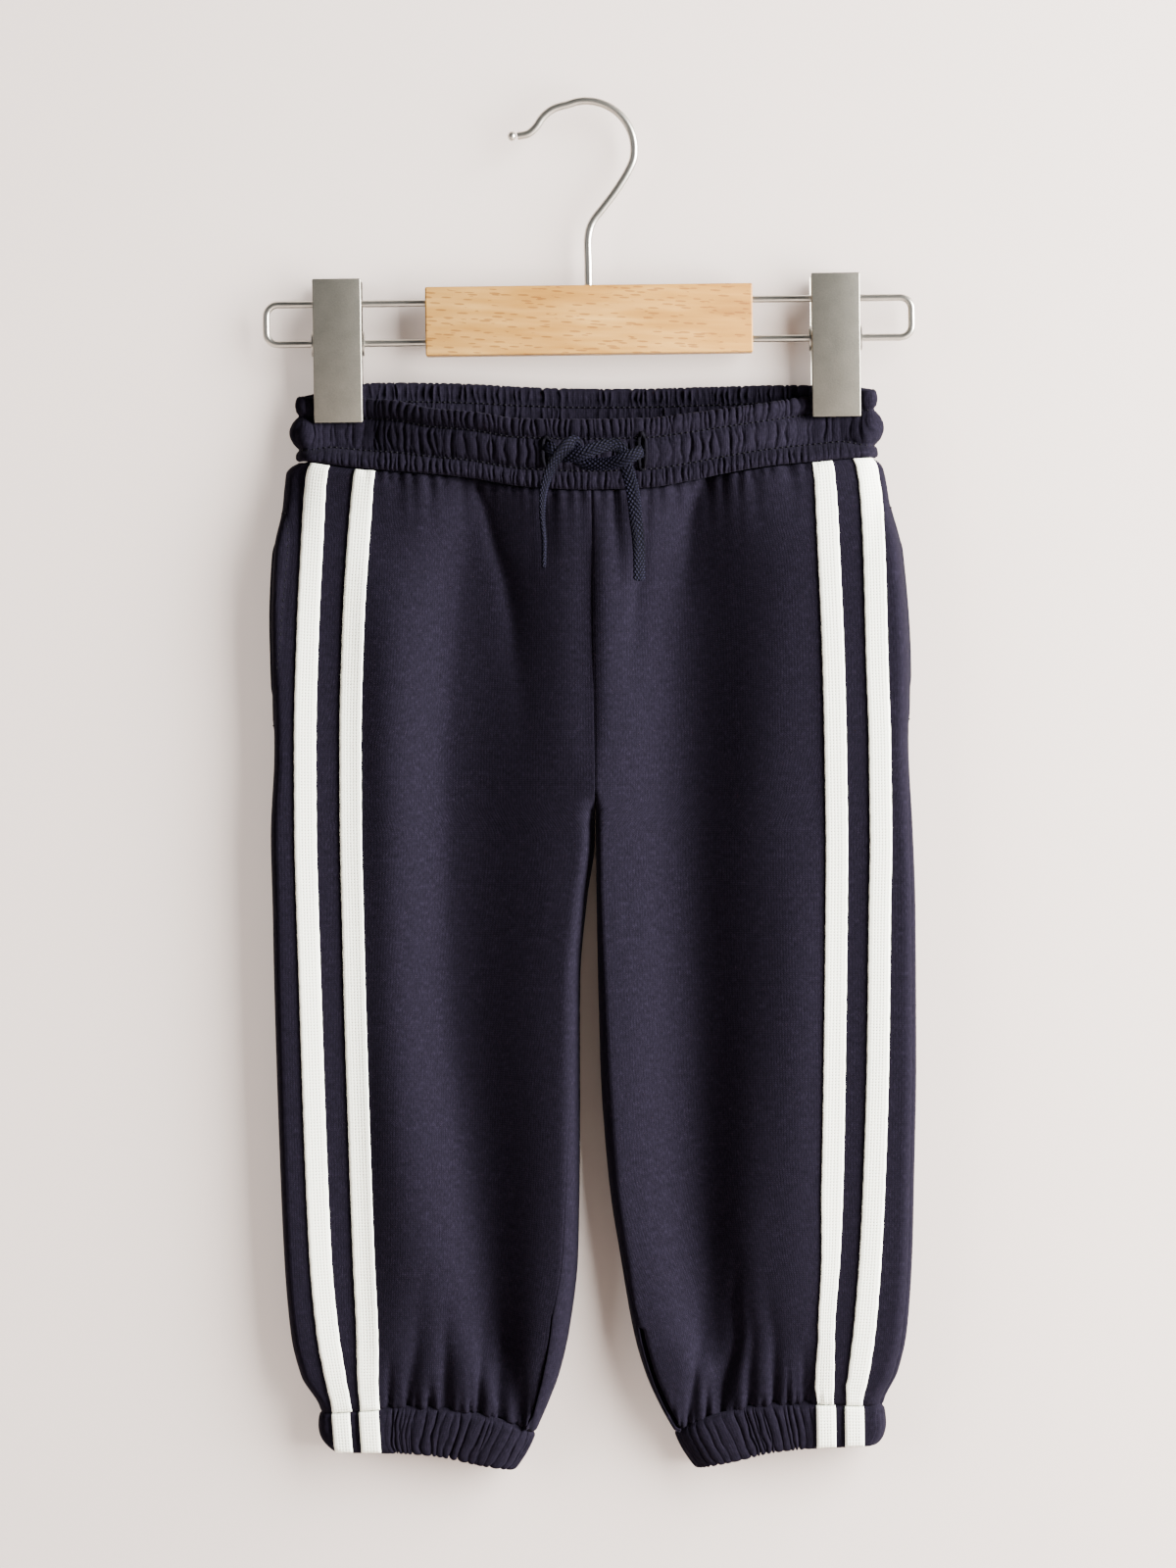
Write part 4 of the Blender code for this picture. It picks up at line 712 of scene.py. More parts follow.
class Nodes:
    """A small helper that adds and links a material's nodes."""

    def __init__(self, name, colour, roughness, metallic=0.0):
        self.material = bpy.data.materials.new(name)
        self.material.use_nodes = True
        self.tree = self.material.node_tree
        self.shader = self.tree.nodes["Principled BSDF"]
        self.shader.inputs["Base Color"].default_value = (*colour, 1)
        self.shader.inputs["Roughness"].default_value = roughness
        self.shader.inputs["Metallic"].default_value = metallic

    def add(self, kind, settings=(), **inputs):
        node = self.tree.nodes.new(kind)
        for name, value in dict(settings).items():
            setattr(node, name, value)
        for name, value in inputs.items():
            socket = node.inputs[int(name[1:]) if name[0] == "i" and name[1:].isdigit() else name]
            if isinstance(value, bpy.types.NodeSocket):
                self.tree.links.new(value, socket)
            else:
                socket.default_value = value
        return node

    def math(self, operation, first, second=0.0):
        return self.add("ShaderNodeMath", {"operation": operation}, i0=first, i1=second).outputs[0]

    def cloth_uv(self):
        """The piece's own map, in metres: across and along the cloth."""
        uv = self.add("ShaderNodeUVMap", {"uv_map": "cloth"}).outputs["UV"]
        split = self.add("ShaderNodeSeparateXYZ", i0=uv)
        return split.outputs["X"], split.outputs["Y"], uv

    def noise(self, vector, scale, detail, stretch=(1, 1, 1)):
        mapping = self.add("ShaderNodeMapping", Vector=vector)
        mapping.inputs["Scale"].default_value = stretch
        return self.add(
            "ShaderNodeTexNoise", Vector=mapping.outputs[0], Scale=scale, Detail=detail
        ).outputs["Fac"]

    def ramp(self, value, stops):
        node = self.add("ShaderNodeValToRGB", Fac=value)
        elements = node.color_ramp.elements
        while len(elements) < len(stops):
            elements.new(0.5)
        for element, (position, colour) in zip(elements, stops):
            element.position = position
            element.color = (*colour, 1)
        return node.outputs["Color"]

    def bump(self, height, distance, strength, under=None):
        node = self.add("ShaderNodeBump", Height=height, Distance=distance, Strength=strength)
        if under is not None:
            self.tree.links.new(under, node.inputs["Normal"])
        self.tree.links.new(node.outputs["Normal"], self.shader.inputs["Normal"])
        return node.outputs["Normal"]

    def link(self, value, name):
        self.tree.links.new(value, self.shader.inputs[name])


def jersey_material():
    """Fine double-knit jersey: narrow wales and courses, a slight heather and a soft nap."""
    made = Nodes("navy_jersey_cloth", (0.02, 0.018, 0.033), 0.86)
    across, down, uv = made.cloth_uv()
    wale = made.math("ABSOLUTE", made.math("SINE", made.math("MULTIPLY", across, math.pi / 0.0011)))
    lean = made.math("MULTIPLY", wale, 2.4)
    course = made.math(
        "SINE", made.math("ADD", made.math("MULTIPLY", down, 2 * math.pi / 0.0009), lean)
    )
    stitch = made.math("ADD", wale, made.math("MULTIPLY", course, 0.45))
    fibre = made.noise(uv, 1500.0, 3.0, (1, 0.35, 1))
    fuzz = made.noise(uv, 260.0, 4.0)
    heather = made.math("ADD", made.math("MULTIPLY", fibre, 0.7), made.math("MULTIPLY", fuzz, 0.3))
    heather = made.math("ADD", heather, made.math("MULTIPLY", stitch, 0.05))
    made.link(
        made.ramp(heather, ((0.32, (0.0027, 0.0023, 0.0042)), (0.58, (0.0053, 0.0043, 0.0081)),
                            (0.8, (0.0100, 0.0082, 0.0152)))),
        "Base Color",
    )
    low = made.bump(stitch, 0.00012, 0.25)
    made.bump(fibre, 0.0002, 0.35, low)
    made.shader.inputs["Sheen Weight"].default_value = 0.02
    made.shader.inputs["Sheen Roughness"].default_value = 0.4
    made.shader.inputs["Sheen Tint"].default_value = (0.62, 0.58, 0.80, 1)
    made.shader.inputs["Specular IOR Level"].default_value = 0.02
    return made.material


def tape_material():
    """Off-white woven tape: fine cross ribs, and pin dots between its plain borders."""
    made = Nodes("white_tape_weave", (0.83, 0.83, 0.79), 0.78)
    across, down, uv = made.cloth_uv()
    rib = made.math("SINE", made.math("MULTIPLY", down, 2 * math.pi / 0.0013))
    warp = made.math("SINE", made.math("MULTIPLY", across, 2 * math.pi / 0.0013))
    dots = made.math("MULTIPLY", made.math("MAXIMUM", made.math("MULTIPLY", rib, -1.0), 0.0),
                     made.math("MAXIMUM", made.math("MULTIPLY", warp, -1.0), 0.0))
    middle = made.math("LESS_THAN", made.math("ABSOLUTE", across), 0.0027)
    dots = made.math("MULTIPLY", dots, middle)
    edge = made.math("SUBTRACT", made.math("ABSOLUTE", across), 0.0035)
    border = made.math("LESS_THAN", made.math("ABSOLUTE", edge), 0.00016)
    shade = made.math("ADD", made.math("MULTIPLY", dots, 0.55), made.math("MULTIPLY", border, 0.22))
    fuzz = made.noise(uv, 900.0, 3.0)
    shade = made.math("ADD", shade, made.math("MULTIPLY", fuzz, 0.12))
    made.link(
        made.ramp(shade, ((0.0, (0.88, 0.91, 0.80)), (0.5, (0.52, 0.53, 0.46)))), "Base Color"
    )
    height = made.math("SUBTRACT", made.math("ADD", made.math("MULTIPLY", rib, 0.5),
                                             made.math("MULTIPLY", warp, 0.3)), dots)
    made.bump(height, 0.00012, 0.6)
    made.shader.inputs["Sheen Weight"].default_value = 0.08
    return made.material


def braid_material():
    """Flat cotton braid in dark navy. Its colour holds painted light: the strands' tops are painted
    lighter as a painted highlight, and the hollows between them near black as painted shade.
    """
    made = Nodes("navy_braid_cotton", (0.03, 0.035, 0.05), 0.72)
    across, down, uv = made.cloth_uv()
    one = made.math("ADD", made.math("MULTIPLY", across, 1 / (BRAID_ACROSS * MM)),
                    made.math("MULTIPLY", down, 1 / (BRAID_ALONG * MM)))
    two = made.math("SUBTRACT", made.math("MULTIPLY", across, 1 / (BRAID_ACROSS * MM)),
                    made.math("MULTIPLY", down, 1 / (BRAID_ALONG * MM)))
    first = made.math("ABSOLUTE", made.math("SINE", made.math("MULTIPLY", one, math.pi)))
    other = made.math("ABSOLUTE", made.math("SINE", made.math("MULTIPLY", two, math.pi)))
    strands = made.math("MULTIPLY", first, other)
    fibre = made.noise(uv, 1800.0, 3.0)
    # Painted highlight and painted shade: the strand pattern paints the strands' tops light and the
    # hollows between them near black. The fibre noise is random tone.
    tone = made.math("ADD", made.math("MULTIPLY", strands, 0.8), made.math("MULTIPLY", fibre, 0.3))
    made.link(
        made.ramp(tone, ((0.10, (0.0004, 0.0004, 0.0010)), (0.52, (0.0013, 0.0012, 0.0030)),
                         (1.00, (0.0078, 0.0074, 0.0165)))),
        "Base Color",
    )
    low = made.bump(strands, 0.0003, 0.7)
    made.bump(fibre, 0.0002, 0.4, low)
    made.shader.inputs["Specular IOR Level"].default_value = 0.03
    return made.material


def thread_material(name, colour, roughness=0.5):
    """Polyester sewing thread, with its twist."""
    made = Nodes(name, colour, roughness)
    where = made.add("ShaderNodeTexCoord").outputs["Object"]
    twist = made.noise(where, 3500.0, 2.0, (1, 1, 2))
    made.bump(twist, 0.0001, 0.5)
    made.shader.inputs["Specular IOR Level"].default_value = 0.06
    return made.material


def beech_material():
    """Pale beech: grain along x, short brown flecks, and a tone that is paler towards its -x end and
    darker towards its +x end.
    """
    made = Nodes("beech_wood", (0.72, 0.52, 0.32), 0.5)
    where = made.add("ShaderNodeTexCoord").outputs["Object"]
    turned = made.add("ShaderNodeMapping", Vector=where)
    turned.inputs["Rotation"].default_value = (0, math.radians(-3.5), 0)
    grain = made.noise(turned.outputs[0], 260.0, 4.0, (0.11, 1, 1))
    cloud = made.noise(turned.outputs[0], 60.0, 2.0, (0.35, 1, 1))
    tone = made.math("ADD", made.math("MULTIPLY", grain, 0.6), made.math("MULTIPLY", cloud, 0.4))
    split = made.add("ShaderNodeSeparateXYZ", i0=where)
    paler = made.math("MULTIPLY", split.outputs["X"], -1.1)
    tone = made.math("ADD", tone, made.math("ADD", paler, 0.06))
    base = made.ramp(tone, ((0.30, (0.24, 0.105, 0.016)), (0.5, (0.34, 0.165, 0.030)),
                            (0.68, (0.44, 0.240, 0.060)), (0.86, (0.55, 0.34, 0.105))))
    dash = made.add("ShaderNodeMapping", Vector=turned.outputs[0])
    dash.inputs["Scale"].default_value = (0.17, 1, 1)
    cell = made.add("ShaderNodeTexVoronoi", {"feature": "F1"}, Vector=dash.outputs[0], Scale=720.0)
    fleck = made.math("LESS_THAN", cell.outputs["Distance"], 0.3)
    pick = made.math("LESS_THAN", made.noise(turned.outputs[0], 420.0, 1.0, (0.2, 1, 1)), 0.6)
    fleck = made.math("MULTIPLY", fleck, pick)
    mixed = made.add("ShaderNodeMix", {"data_type": "RGBA"})
    made.tree.links.new(made.math("MULTIPLY", fleck, 0.55), mixed.inputs["Factor"])
    made.tree.links.new(base, mixed.inputs["A"])
    mixed.inputs["B"].default_value = (0.13, 0.042, 0.008, 1)
    made.link(mixed.outputs["Result"], "Base Color")
    low = made.bump(grain, 0.0002, 0.25)
    made.bump(fleck, -0.00015, 0.5, low)
    made.shader.inputs["Specular IOR Level"].default_value = 0.22
    return made.material


def nickel_material(name, grain_distance, roughness, colour):
    """Satin nickel plate: a fine blasted grain."""
    made = Nodes(name, colour, roughness, 1.0)
    where = made.add("ShaderNodeTexCoord").outputs["Object"]
    grain = made.noise(where, 1500.0, 3.0)
    cloud = made.noise(where, 130.0, 4.0)
    tone = made.math("ADD", made.math("MULTIPLY", grain, 0.45), made.math("MULTIPLY", cloud, 0.55))
    made.link(
        made.ramp(
            tone, ((0.3, [0.85 * part for part in colour]), (0.7, [1.12 * part for part in colour]))
        ),
        "Base Color",
    )
    made.bump(grain, grain_distance, 0.5)
    return made.material


# --- Making pieces -----------------------------------------------------------------------


def write_piece(bm, name, finish, nodes, sharp=None):
    """Turns a bmesh into a piece that rides on the part and stands for its nodes."""
    bmesh.ops.scale(bm, vec=(MM, MM, MM), verts=bm.verts)
    mesh = bpy.data.meshes.new(name)
    bm.to_mesh(mesh)
    bm.free()
    mesh.shade_smooth()
    if sharp is not None:
        mesh.set_sharp_from_angle(angle=math.radians(sharp))
    mesh.materials.append(finish)
    made = bpy.data.objects.new(name, mesh)
    bpy.context.scene.collection.objects.link(made)
    return register(made, nodes)


def register(made, nodes):
    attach(made, "root")
    if nodes:
        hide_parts(*nodes)
    return made


def grid_sheet(points, closed_across=False, closed_along=False, centred=False):
    """A sheet through points[row][column], with its own map in metres.

    A closed way's last points repeat its first, and are merged.
    """
    rows, columns = points.shape[0] - 1, points.shape[1] - 1
    across = np.linalg.norm(np.diff(points, axis=1), axis=2).mean(0)
    down = np.linalg.norm(np.diff(points, axis=0), axis=2).mean(1)
    u = np.concatenate(([0.0], np.cumsum(across))) * MM
    v = np.concatenate(([0.0], np.cumsum(down))) * MM
    if centred:
        u -= u[-1] / 2
    bm = bmesh.new()
    bmesh.ops.create_grid(bm, x_segments=columns, y_segments=rows, size=1)
    layer = bm.loops.layers.uv.new("cloth")
    steps = {}
    for vert in bm.verts:
        column = round((vert.co.x + 1) / 2 * columns)
        row = round((vert.co.y + 1) / 2 * rows)
        steps[vert] = (column, row)
        vert.co = points[row, column]
    for face in bm.faces:
        for loop in face.loops:
            column, row = steps[loop.vert]
            loop[layer].uv = (u[column], v[row])
    if closed_across or closed_along:
        bmesh.ops.remove_doubles(bm, verts=bm.verts, dist=0.0005)
    return bm


def face_out(bm, direction):
    """Turns an open sheet's faces towards a direction."""
    bm.normal_update()
    total = sum((face.normal * face.calc_area() for face in bm.faces), Vector())
    if total.dot(Vector(direction)) < 0:
        bmesh.ops.reverse_faces(bm, faces=bm.faces[:])


def thicken(made, wall):
    solidify = made.modifiers.new("wall", "SOLIDIFY")
    solidify.thickness = wall * MM
    solidify.offset = -1
    solidify.use_even_offset = False
    return made


def stitch_row(bm, points, normals, length, thickness, gap, proud):
    """A row of short raised stitches along points, lying on the surface."""
    run = along(points)
    pitch = length + gap
    count = int(run[-1] // pitch)
    if count < 1:
        return
    start = (run[-1] - count * pitch + gap) / 2
    for k in range(count):
        middle = start + k * pitch + length / 2
        ends = [
            np.array([np.interp(middle + half * length / 2, run, points[:, i]) for i in range(3)])
            for half in (-1, 1)
        ]
        up = np.array([np.interp(middle, run, normals[:, i]) for i in range(3)])
        way = Vector(ends[1] - ends[0]).normalized()
        up = (Vector(up) - way * Vector(up).dot(way)).normalized()
        side = way.cross(up)
        centre = Vector((ends[0] + ends[1]) / 2) + up * proud
        made = bmesh.ops.create_icosphere(bm, subdivisions=1, radius=0.5)["verts"]
        turn = Matrix((way * length, side * thickness, up * thickness)).transposed()
        for vert in made:
            vert.co = turn @ vert.co + centre


def add_wire(name, points, radius, finish, nodes, closed=False, sides=4):
    """A round wire through points in millimetres, with filled ends."""
    curve = bpy.data.curves.new(name, "CURVE")
    curve.dimensions = "3D"
    curve.bevel_depth = radius * MM
    curve.bevel_resolution = sides
    curve.use_fill_caps = not closed
    spline = curve.splines.new("POLY")
    spline.points.add(len(points) - 1)
    for spot, point in zip(spline.points, points):
        spot.co = (*(Vector(point) * MM), 1.0)
    spline.use_cyclic_u = closed
    spline.use_smooth = True
    curve.materials.append(finish)
    made = bpy.data.objects.new(name, curve)
    bpy.context.scene.collection.objects.link(made)
    return register(made, nodes)


# --- Camera, stage and light -------------------------------------------------------------


def make_camera():
    data = bpy.data.cameras.new("camera")
    data.sensor_width = SENSOR
    data.lens = SENSOR * -CAMERA_AT[1] / CAMERA_VIEW_HEIGHT
    data.clip_end = 50.0
    camera = bpy.data.objects.new("camera", data)
    right = Vector((math.cos(CAMERA_ROLL), 0, -math.sin(CAMERA_ROLL)))
    up = Vector((math.sin(CAMERA_ROLL), 0, math.cos(CAMERA_ROLL)))
    turn = Matrix((right, up, Vector((0, -1, 0)))).transposed().to_4x4()
    camera.matrix_world = Matrix.Translation(Vector(CAMERA_AT) * MM) @ turn
    bpy.context.scene.collection.objects.link(camera)
    bpy.context.scene.camera = camera


def add_light(name, at, aim, size, watts, colour):
    data = bpy.data.lights.new(name, "AREA")
    data.shape = "RECTANGLE"
    data.size, data.size_y = size
    data.energy = watts
    data.color = colour
    light = bpy.data.objects.new(name, data)
    light.location = at
    light.rotation_mode = "QUATERNION"
    light.rotation_quaternion = (Vector(aim) - Vector(at)).to_track_quat("-Z", "Y")
    bpy.context.scene.collection.objects.link(light)
    return light


def make_stage():
    """A pale wall that curves into a pale floor, seen only from its own side."""
    bend = 120.0
    outline = [(WALL_BEHIND, 2200.0), (WALL_BEHIND, -FLOOR_DOWN + bend)]
    for step in range(1, 9):
        angle = QUARTER * step / 8
        outline.append(
            (WALL_BEHIND - bend * (1 - math.cos(angle)),
             -FLOOR_DOWN + bend * (1 - math.sin(angle)))
        )
    outline.append((-4000.0, -FLOOR_DOWN))
    points = np.array([[(x, y, z) for x in (-3500.0, 3500.0)] for y, z in outline])
    bm = grid_sheet(points)
    face_out(bm, (0, -1, 1))
    bmesh.ops.scale(bm, vec=(MM, MM, MM), verts=bm.verts)
    mesh = bpy.data.meshes.new("stage")
    bm.to_mesh(mesh)
    bm.free()
    mesh.shade_smooth()
    paint = Nodes("stage_paint", (0.42, 0.365, 0.335), 0.95)
    paint.shader.inputs["Specular IOR Level"].default_value = 0.1
    clear = paint.add("ShaderNodeBsdfTransparent")
    behind = paint.add("ShaderNodeNewGeometry").outputs["Backfacing"]
    mix = paint.add("ShaderNodeMixShader", Fac=behind)
    paint.tree.links.new(paint.shader.outputs[0], mix.inputs[1])
    paint.tree.links.new(clear.outputs[0], mix.inputs[2])
    paint.tree.links.new(mix.outputs[0], paint.tree.nodes["Material Output"].inputs["Surface"])
    mesh.materials.append(paint.material)
    stage = bpy.data.objects.new("stage", mesh)
    bpy.context.scene.collection.objects.link(stage)
    return stage


def light_stage_only(light, stage, only):
    """Keeps a light to the stage, or keeps it off the stage."""
    kept = bpy.data.collections.new(light.name + "_receivers")
    kept.objects.link(stage)
    kept.collection_objects[0].light_linking.link_state = "INCLUDE" if only else "EXCLUDE"
    light.light_linking.receiver_collection = kept


def cast_no_shadow(light, pieces):
    """Keeps a light from casting the shadows of these pieces."""
    passed = bpy.data.collections.new(light.name + "_passes")
    for k, piece in enumerate(pieces):
        passed.objects.link(piece)
        passed.collection_objects[k].light_linking.link_state = "EXCLUDE"
    light.light_linking.blocker_collection = passed


def make_light(stage, cords):
    world = bpy.data.worlds.new("studio")
    world.use_nodes = True
    world.node_tree.nodes["Background"].inputs["Color"].default_value = (0.93, 0.95, 1.0, 1)
    world.node_tree.nodes["Background"].inputs["Strength"].default_value = 0.11
    bpy.context.scene.world = world
    key = add_light("key", (1.76, -0.72, 0.1), (0, 0, -0.3), (0.9, 1.1), 480, (1.0, 0.985, 0.96))
    light_stage_only(key, stage, False)
    cast_no_shadow(key, cords)
    add_light("fill", (-1.5, -2.2, 0.1), (0, 0, -0.35), (1.4, 1.6), 5, (0.93, 0.96, 1.0))
    for name, at, size, watts in (
        ("wash", (0.93, -0.72, -0.04), (1.2, 1.6), 212),
        ("left_wash", (-1.5, -1.0, -0.02), (1.2, 1.4), 73),
    ):
        wash = add_light(name, at, (0, 0, -0.2), size, watts, (1.0, 0.985, 0.97))
        light_stage_only(wash, stage, True)


# --- The drawcord ------------------------------------------------------------------------


def make_drawcord(name, finish):
    """One stretch of the flat braid: an oval tube with its strands raised."""
    count, sides = 300, 48
    centres = through(CORD_ROUTES[name], count)
    tangents = unit(np.gradient(centres, axis=0))
    run = along(centres)
    turns = CORD_TWISTS[name]
    twist = np.radians(np.interp(np.linspace(0, 1, count), np.linspace(0, 1, len(turns)), turns))
    facing = np.zeros_like(centres)
    facing[:, 1] = -1
    facing = unit(facing - tangents * (facing * tangents).sum(1, keepdims=True))
    for _ in range(3):
        facing[1:-1] = unit(facing[:-2] + facing[1:-1] * 2 + facing[2:])
    facing = unit(facing - tangents * (facing * tangents).sum(1, keepdims=True))
    wide = np.cross(tangents, facing)
    cos, sin = np.cos(twist)[:, None], np.sin(twist)[:, None]
    facing, wide = facing * cos + wide * sin, wide * cos - facing * sin
    angle = np.linspace(0, 2 * math.pi, sides + 1)
    girth = angle / (2 * math.pi) * CORD_GIRTH
    ends = np.clip(np.minimum(run, run[-1] - run) / 1.1, 0, 1)
    close = np.sqrt(1 - (1 - ends) ** 2) * 0.999 + 0.001
    across, down = girth[None, :] / BRAID_ACROSS, run[:, None] / BRAID_ALONG
    strands = np.abs(np.sin(math.pi * (across + down)) * np.sin(math.pi * (across - down)))
    raised = 0.44 * strands - 0.25
    half_wide = (CORD_WIDTH / 2 + raised) * close[:, None]
    half_thick = (CORD_THICKNESS / 2 + raised) * close[:, None]
    sideways = np.sign(np.cos(angle)) * np.abs(np.cos(angle)) ** 0.8
    through_it = np.sign(np.sin(angle)) * np.abs(np.sin(angle)) ** 0.8
    points = (
        centres[:, None, :]
        + wide[:, None, :] * (half_wide * sideways)[..., None]
        + facing[:, None, :] * (half_thick * through_it)[..., None]
    )
    bm = grid_sheet(points, closed_across=True)
    layer = bm.loops.layers.uv["cloth"]
    girth_share = CORD_GIRTH * MM / max(loop[layer].uv.x for face in bm.faces for loop in face.loops)
    for face in bm.faces:
        for loop in face.loops:
            loop[layer].uv.x *= girth_share
    rims = [edge for edge in bm.edges if edge.is_boundary]
    bmesh.ops.holes_fill(bm, edges=rims, sides=0)
    bmesh.ops.recalc_face_normals(bm, faces=bm.faces)
    made = write_piece(bm, name + "_braid", finish, [name])
    return made


# --- The waistband -----------------------------------------------------------------------

# The waistband's wall from its top fold down its outer face and up its inner face: share of
# its height, how far it stands out, and how deep its gathers cut.
WAIST_OUTER = table(
    "share out cut",
    ((-0.012, 1.0, 0.3), (0.0, 1.75, 1.3), (0.035, 2.4, 2.0), (0.12, 2.9, 2.3),
     (0.21, 2.3, 1.8), (0.262, 1.1, 0.8), (0.282, 1.1, 0.8), (0.34, 2.7, 2.2),
     (0.50, 3.6, 2.8), (0.66, 2.8, 2.2), (0.718, 1.1, 0.8), (0.738, 1.1, 0.8),
     (0.80, 2.3, 1.7), (0.90, 2.85, 2.0), (0.97, 2.4, 1.7), (0.993, 1.5, 0.8)),
)
WAIST_INNER = table(
    "share out cut",
    ((-0.012, 1.0, 0.3), (0.0, 0.1, 0.9), (0.04, -0.3, 1.5), (0.15, -0.5, 1.9),
     (0.24, 0.15, 0.8), (0.29, 0.15, 0.8), (0.38, -0.5, 1.7), (0.50, -0.6, 1.6),
     (0.70, 0.0, 0.5), (0.75, 0.25, 0.4), (0.95, 0.1, 0.5), (0.993, 0.7, 0.4)),
)
WAIST_MARKS = (0.0, 0.13, 0.262, 0.36, 0.5, 0.64, 0.73, 0.86, 1.0)
# Each buttonhole's x, how far down its middle is, and its half height.
BUTTONHOLES = {"left_buttonhole": (21.8, 149.6, 7.8), "right_buttonhole": (-18.8, 149.4, 6.2)}
STITCH_SHARES = (0.272, 0.728)
# The three rows of gathers, from the top frill down: how many, how uneven, and how round.
WAIST_TIERS = ((184, 0.5, 0.5), (140, 0.6, 0.42), (204, 0.5, 0.5))


def even_places(point, count):
    """Places that part a ring's outline into equal lengths, and the outline's length."""
    dense = np.linspace(0, 6, 2401)
    run = along(point(dense))
    return np.interp(np.linspace(0, run[-1], count + 1), run, dense), run[-1]


def waist_ends(place):
    """1 at the waistband's two ends, 0 along its front and back."""
    x, _ = ring(place, WAIST_RIGHT, WAIST_LEFT, WAIST_ROUND, WAIST_ROUND)
    middle = (WAIST_RIGHT + WAIST_LEFT) / 2
    return smooth((np.abs(x - middle) - WAIST_END_FROM) / WAIST_END_FADE)


def waist_fullness(place):
    x, lean = ring(place, WAIST_RIGHT, WAIST_LEFT, WAIST_ROUND, WAIST_ROUND)
    flat_back = np.exp(-(((x + 3.2) / 7.0) ** 4)) * (lean < 0)
    return WAIST["fullness"](x) * (1 - 0.75 * flat_back)


def waist_field(places, length, shares):
    """How deep the gathers are: each tier's own, blended across the rows of stitching."""
    run = np.linspace(0, length, len(places))
    tiers = [
        gathers(run, length, count, 11 + k, shares, WAIST_MARKS, uneven, 0.3, roundness)
        for k, (count, uneven, roundness) in enumerate(WAIST_TIERS)
    ]
    above = smooth((STITCH_SHARES[0] - shares) / 0.06 + 0.5)[:, None]
    below = smooth((shares - STITCH_SHARES[1]) / 0.06 + 0.5)[:, None]
    broad = tiers[0] * above + tiers[1] * (1 - above) * (1 - below) + tiers[2] * below
    fine = gathers(run, length, WAIST_FINE_GATHERS, 15, shares, WAIST_MARKS, 0.5, 0.3, 0.55)
    pinched = sum(np.exp(-(((shares - at) / 0.075) ** 2)) for at in (*STITCH_SHARES, 1.0))
    full = waist_fullness(places)[None, :] * np.ones((len(shares), 1))
    x, lean = ring(places, WAIST_RIGHT, WAIST_LEFT, WAIST_ROUND, WAIST_ROUND)
    for hole_x, hole_share in buttonhole_shares().values():
        near = np.exp(-(((x - hole_x) / 4.2) ** 4)) * (lean > 0)
        high = np.exp(-(((shares - hole_share) / 0.34) ** 4))
        full = full * (1 - 0.85 * high[:, None] * near)
    return (broad + 0.8 * fine * pinched[:, None]) * full


def buttonhole_shares():
    """Each buttonhole's x, and its share of the waistband's height."""
    found = {}
    for name, (x, down, _) in BUTTONHOLES.items():
        top, seam = float(WAIST["front_top"](x)), float(WAIST["front_seam"](x))
        found[name] = (x, (down - top) / (seam - top))
    return found


def buttonhole_slit(places, shares):
    """How far the cloth is pushed in along the buttonholes' slits."""
    x, lean = ring(places, WAIST_RIGHT, WAIST_LEFT, WAIST_ROUND, WAIST_ROUND)
    total = np.zeros((len(shares), len(places)))
    for hole_x, hole_share in buttonhole_shares().values():
        near = np.exp(-(((x - hole_x) / 0.38) ** 4)) * (lean > 0)
        high = np.exp(-(((shares - hole_share) / 0.22) ** 6))
        total += 1.3 * high[:, None] * near
    return total


def make_waistband(finish, thread):
    """Three gathered rows over the elastic: a top frill, the wide channel and a lower strip."""
    places, length = even_places(lambda place: waist_point(place, 0.5, 1.6), WAIST_COLUMNS)
    outer = np.concatenate((
        np.linspace(-0.012, 0.035, 4), np.linspace(0.06, 0.21, 5), np.linspace(0.235, 0.31, 6),
        np.linspace(0.36, 0.64, 8), np.linspace(0.69, 0.765, 6), np.linspace(0.80, 0.993, 7),
    ))
    inner = np.concatenate((
        np.linspace(0.993, 0.80, 4), np.linspace(0.76, 0.70, 3), np.linspace(0.62, 0.34, 4),
        np.linspace(0.30, 0.24, 4), np.linspace(0.20, 0.0, 6),
    ))
    shares = np.concatenate((outer, inner, outer[:1]))
    facing_in = np.concatenate((np.zeros(len(outer)), np.ones(len(inner)), [0]))[:, None]
    out = np.where(facing_in, WAIST_INNER["out"](shares)[:, None], WAIST_OUTER["out"](shares)[:, None])
    cut = np.where(facing_in, WAIST_INNER["cut"](shares)[:, None], WAIST_OUTER["cut"](shares)[:, None])
    field = waist_field(places, length, shares)
    edge = np.exp(-(((shares + 0.01) / 0.06) ** 2))[:, None]
    swell = 1.9 * waist_ends(places)[None, :] * np.exp(-(((shares - 0.5) / 0.17) ** 2))[:, None]
    out = out + (swell - buttonhole_slit(places, shares)) * (1 - facing_in) - cut * field
    points = waist_point(places[None, :], shares[:, None], out, 1.5 * edge * field)
    points[:, -1] = points[:, 0]
    points[-1] = points[0]
    bm = grid_sheet(points, True, True)
    bmesh.ops.recalc_face_normals(bm, faces=bm.faces)
    made = write_piece(bm, "waistband_gathered", finish, ["waistband"])

    bm = bmesh.new()
    for share in STITCH_SHARES:
        at = np.array([share])
        field = waist_field(places, length, at)[0]
        for sign, out_at, cut_at in (
            (1, WAIST_OUTER["out"](share), WAIST_OUTER["cut"](share)),
            (-1, WAIST_INNER["out"](share), WAIST_INNER["cut"](share)),
        ):
            line = waist_point(places, share, out_at - cut_at * field)
            lifted = waist_point(places, share, out_at - cut_at * field + sign)
            stitch_row(bm, line, lifted - line, 1.6, 0.85, 0.9, 0.15)
    stitches = write_piece(bm, "waistband_stitches", thread, [])


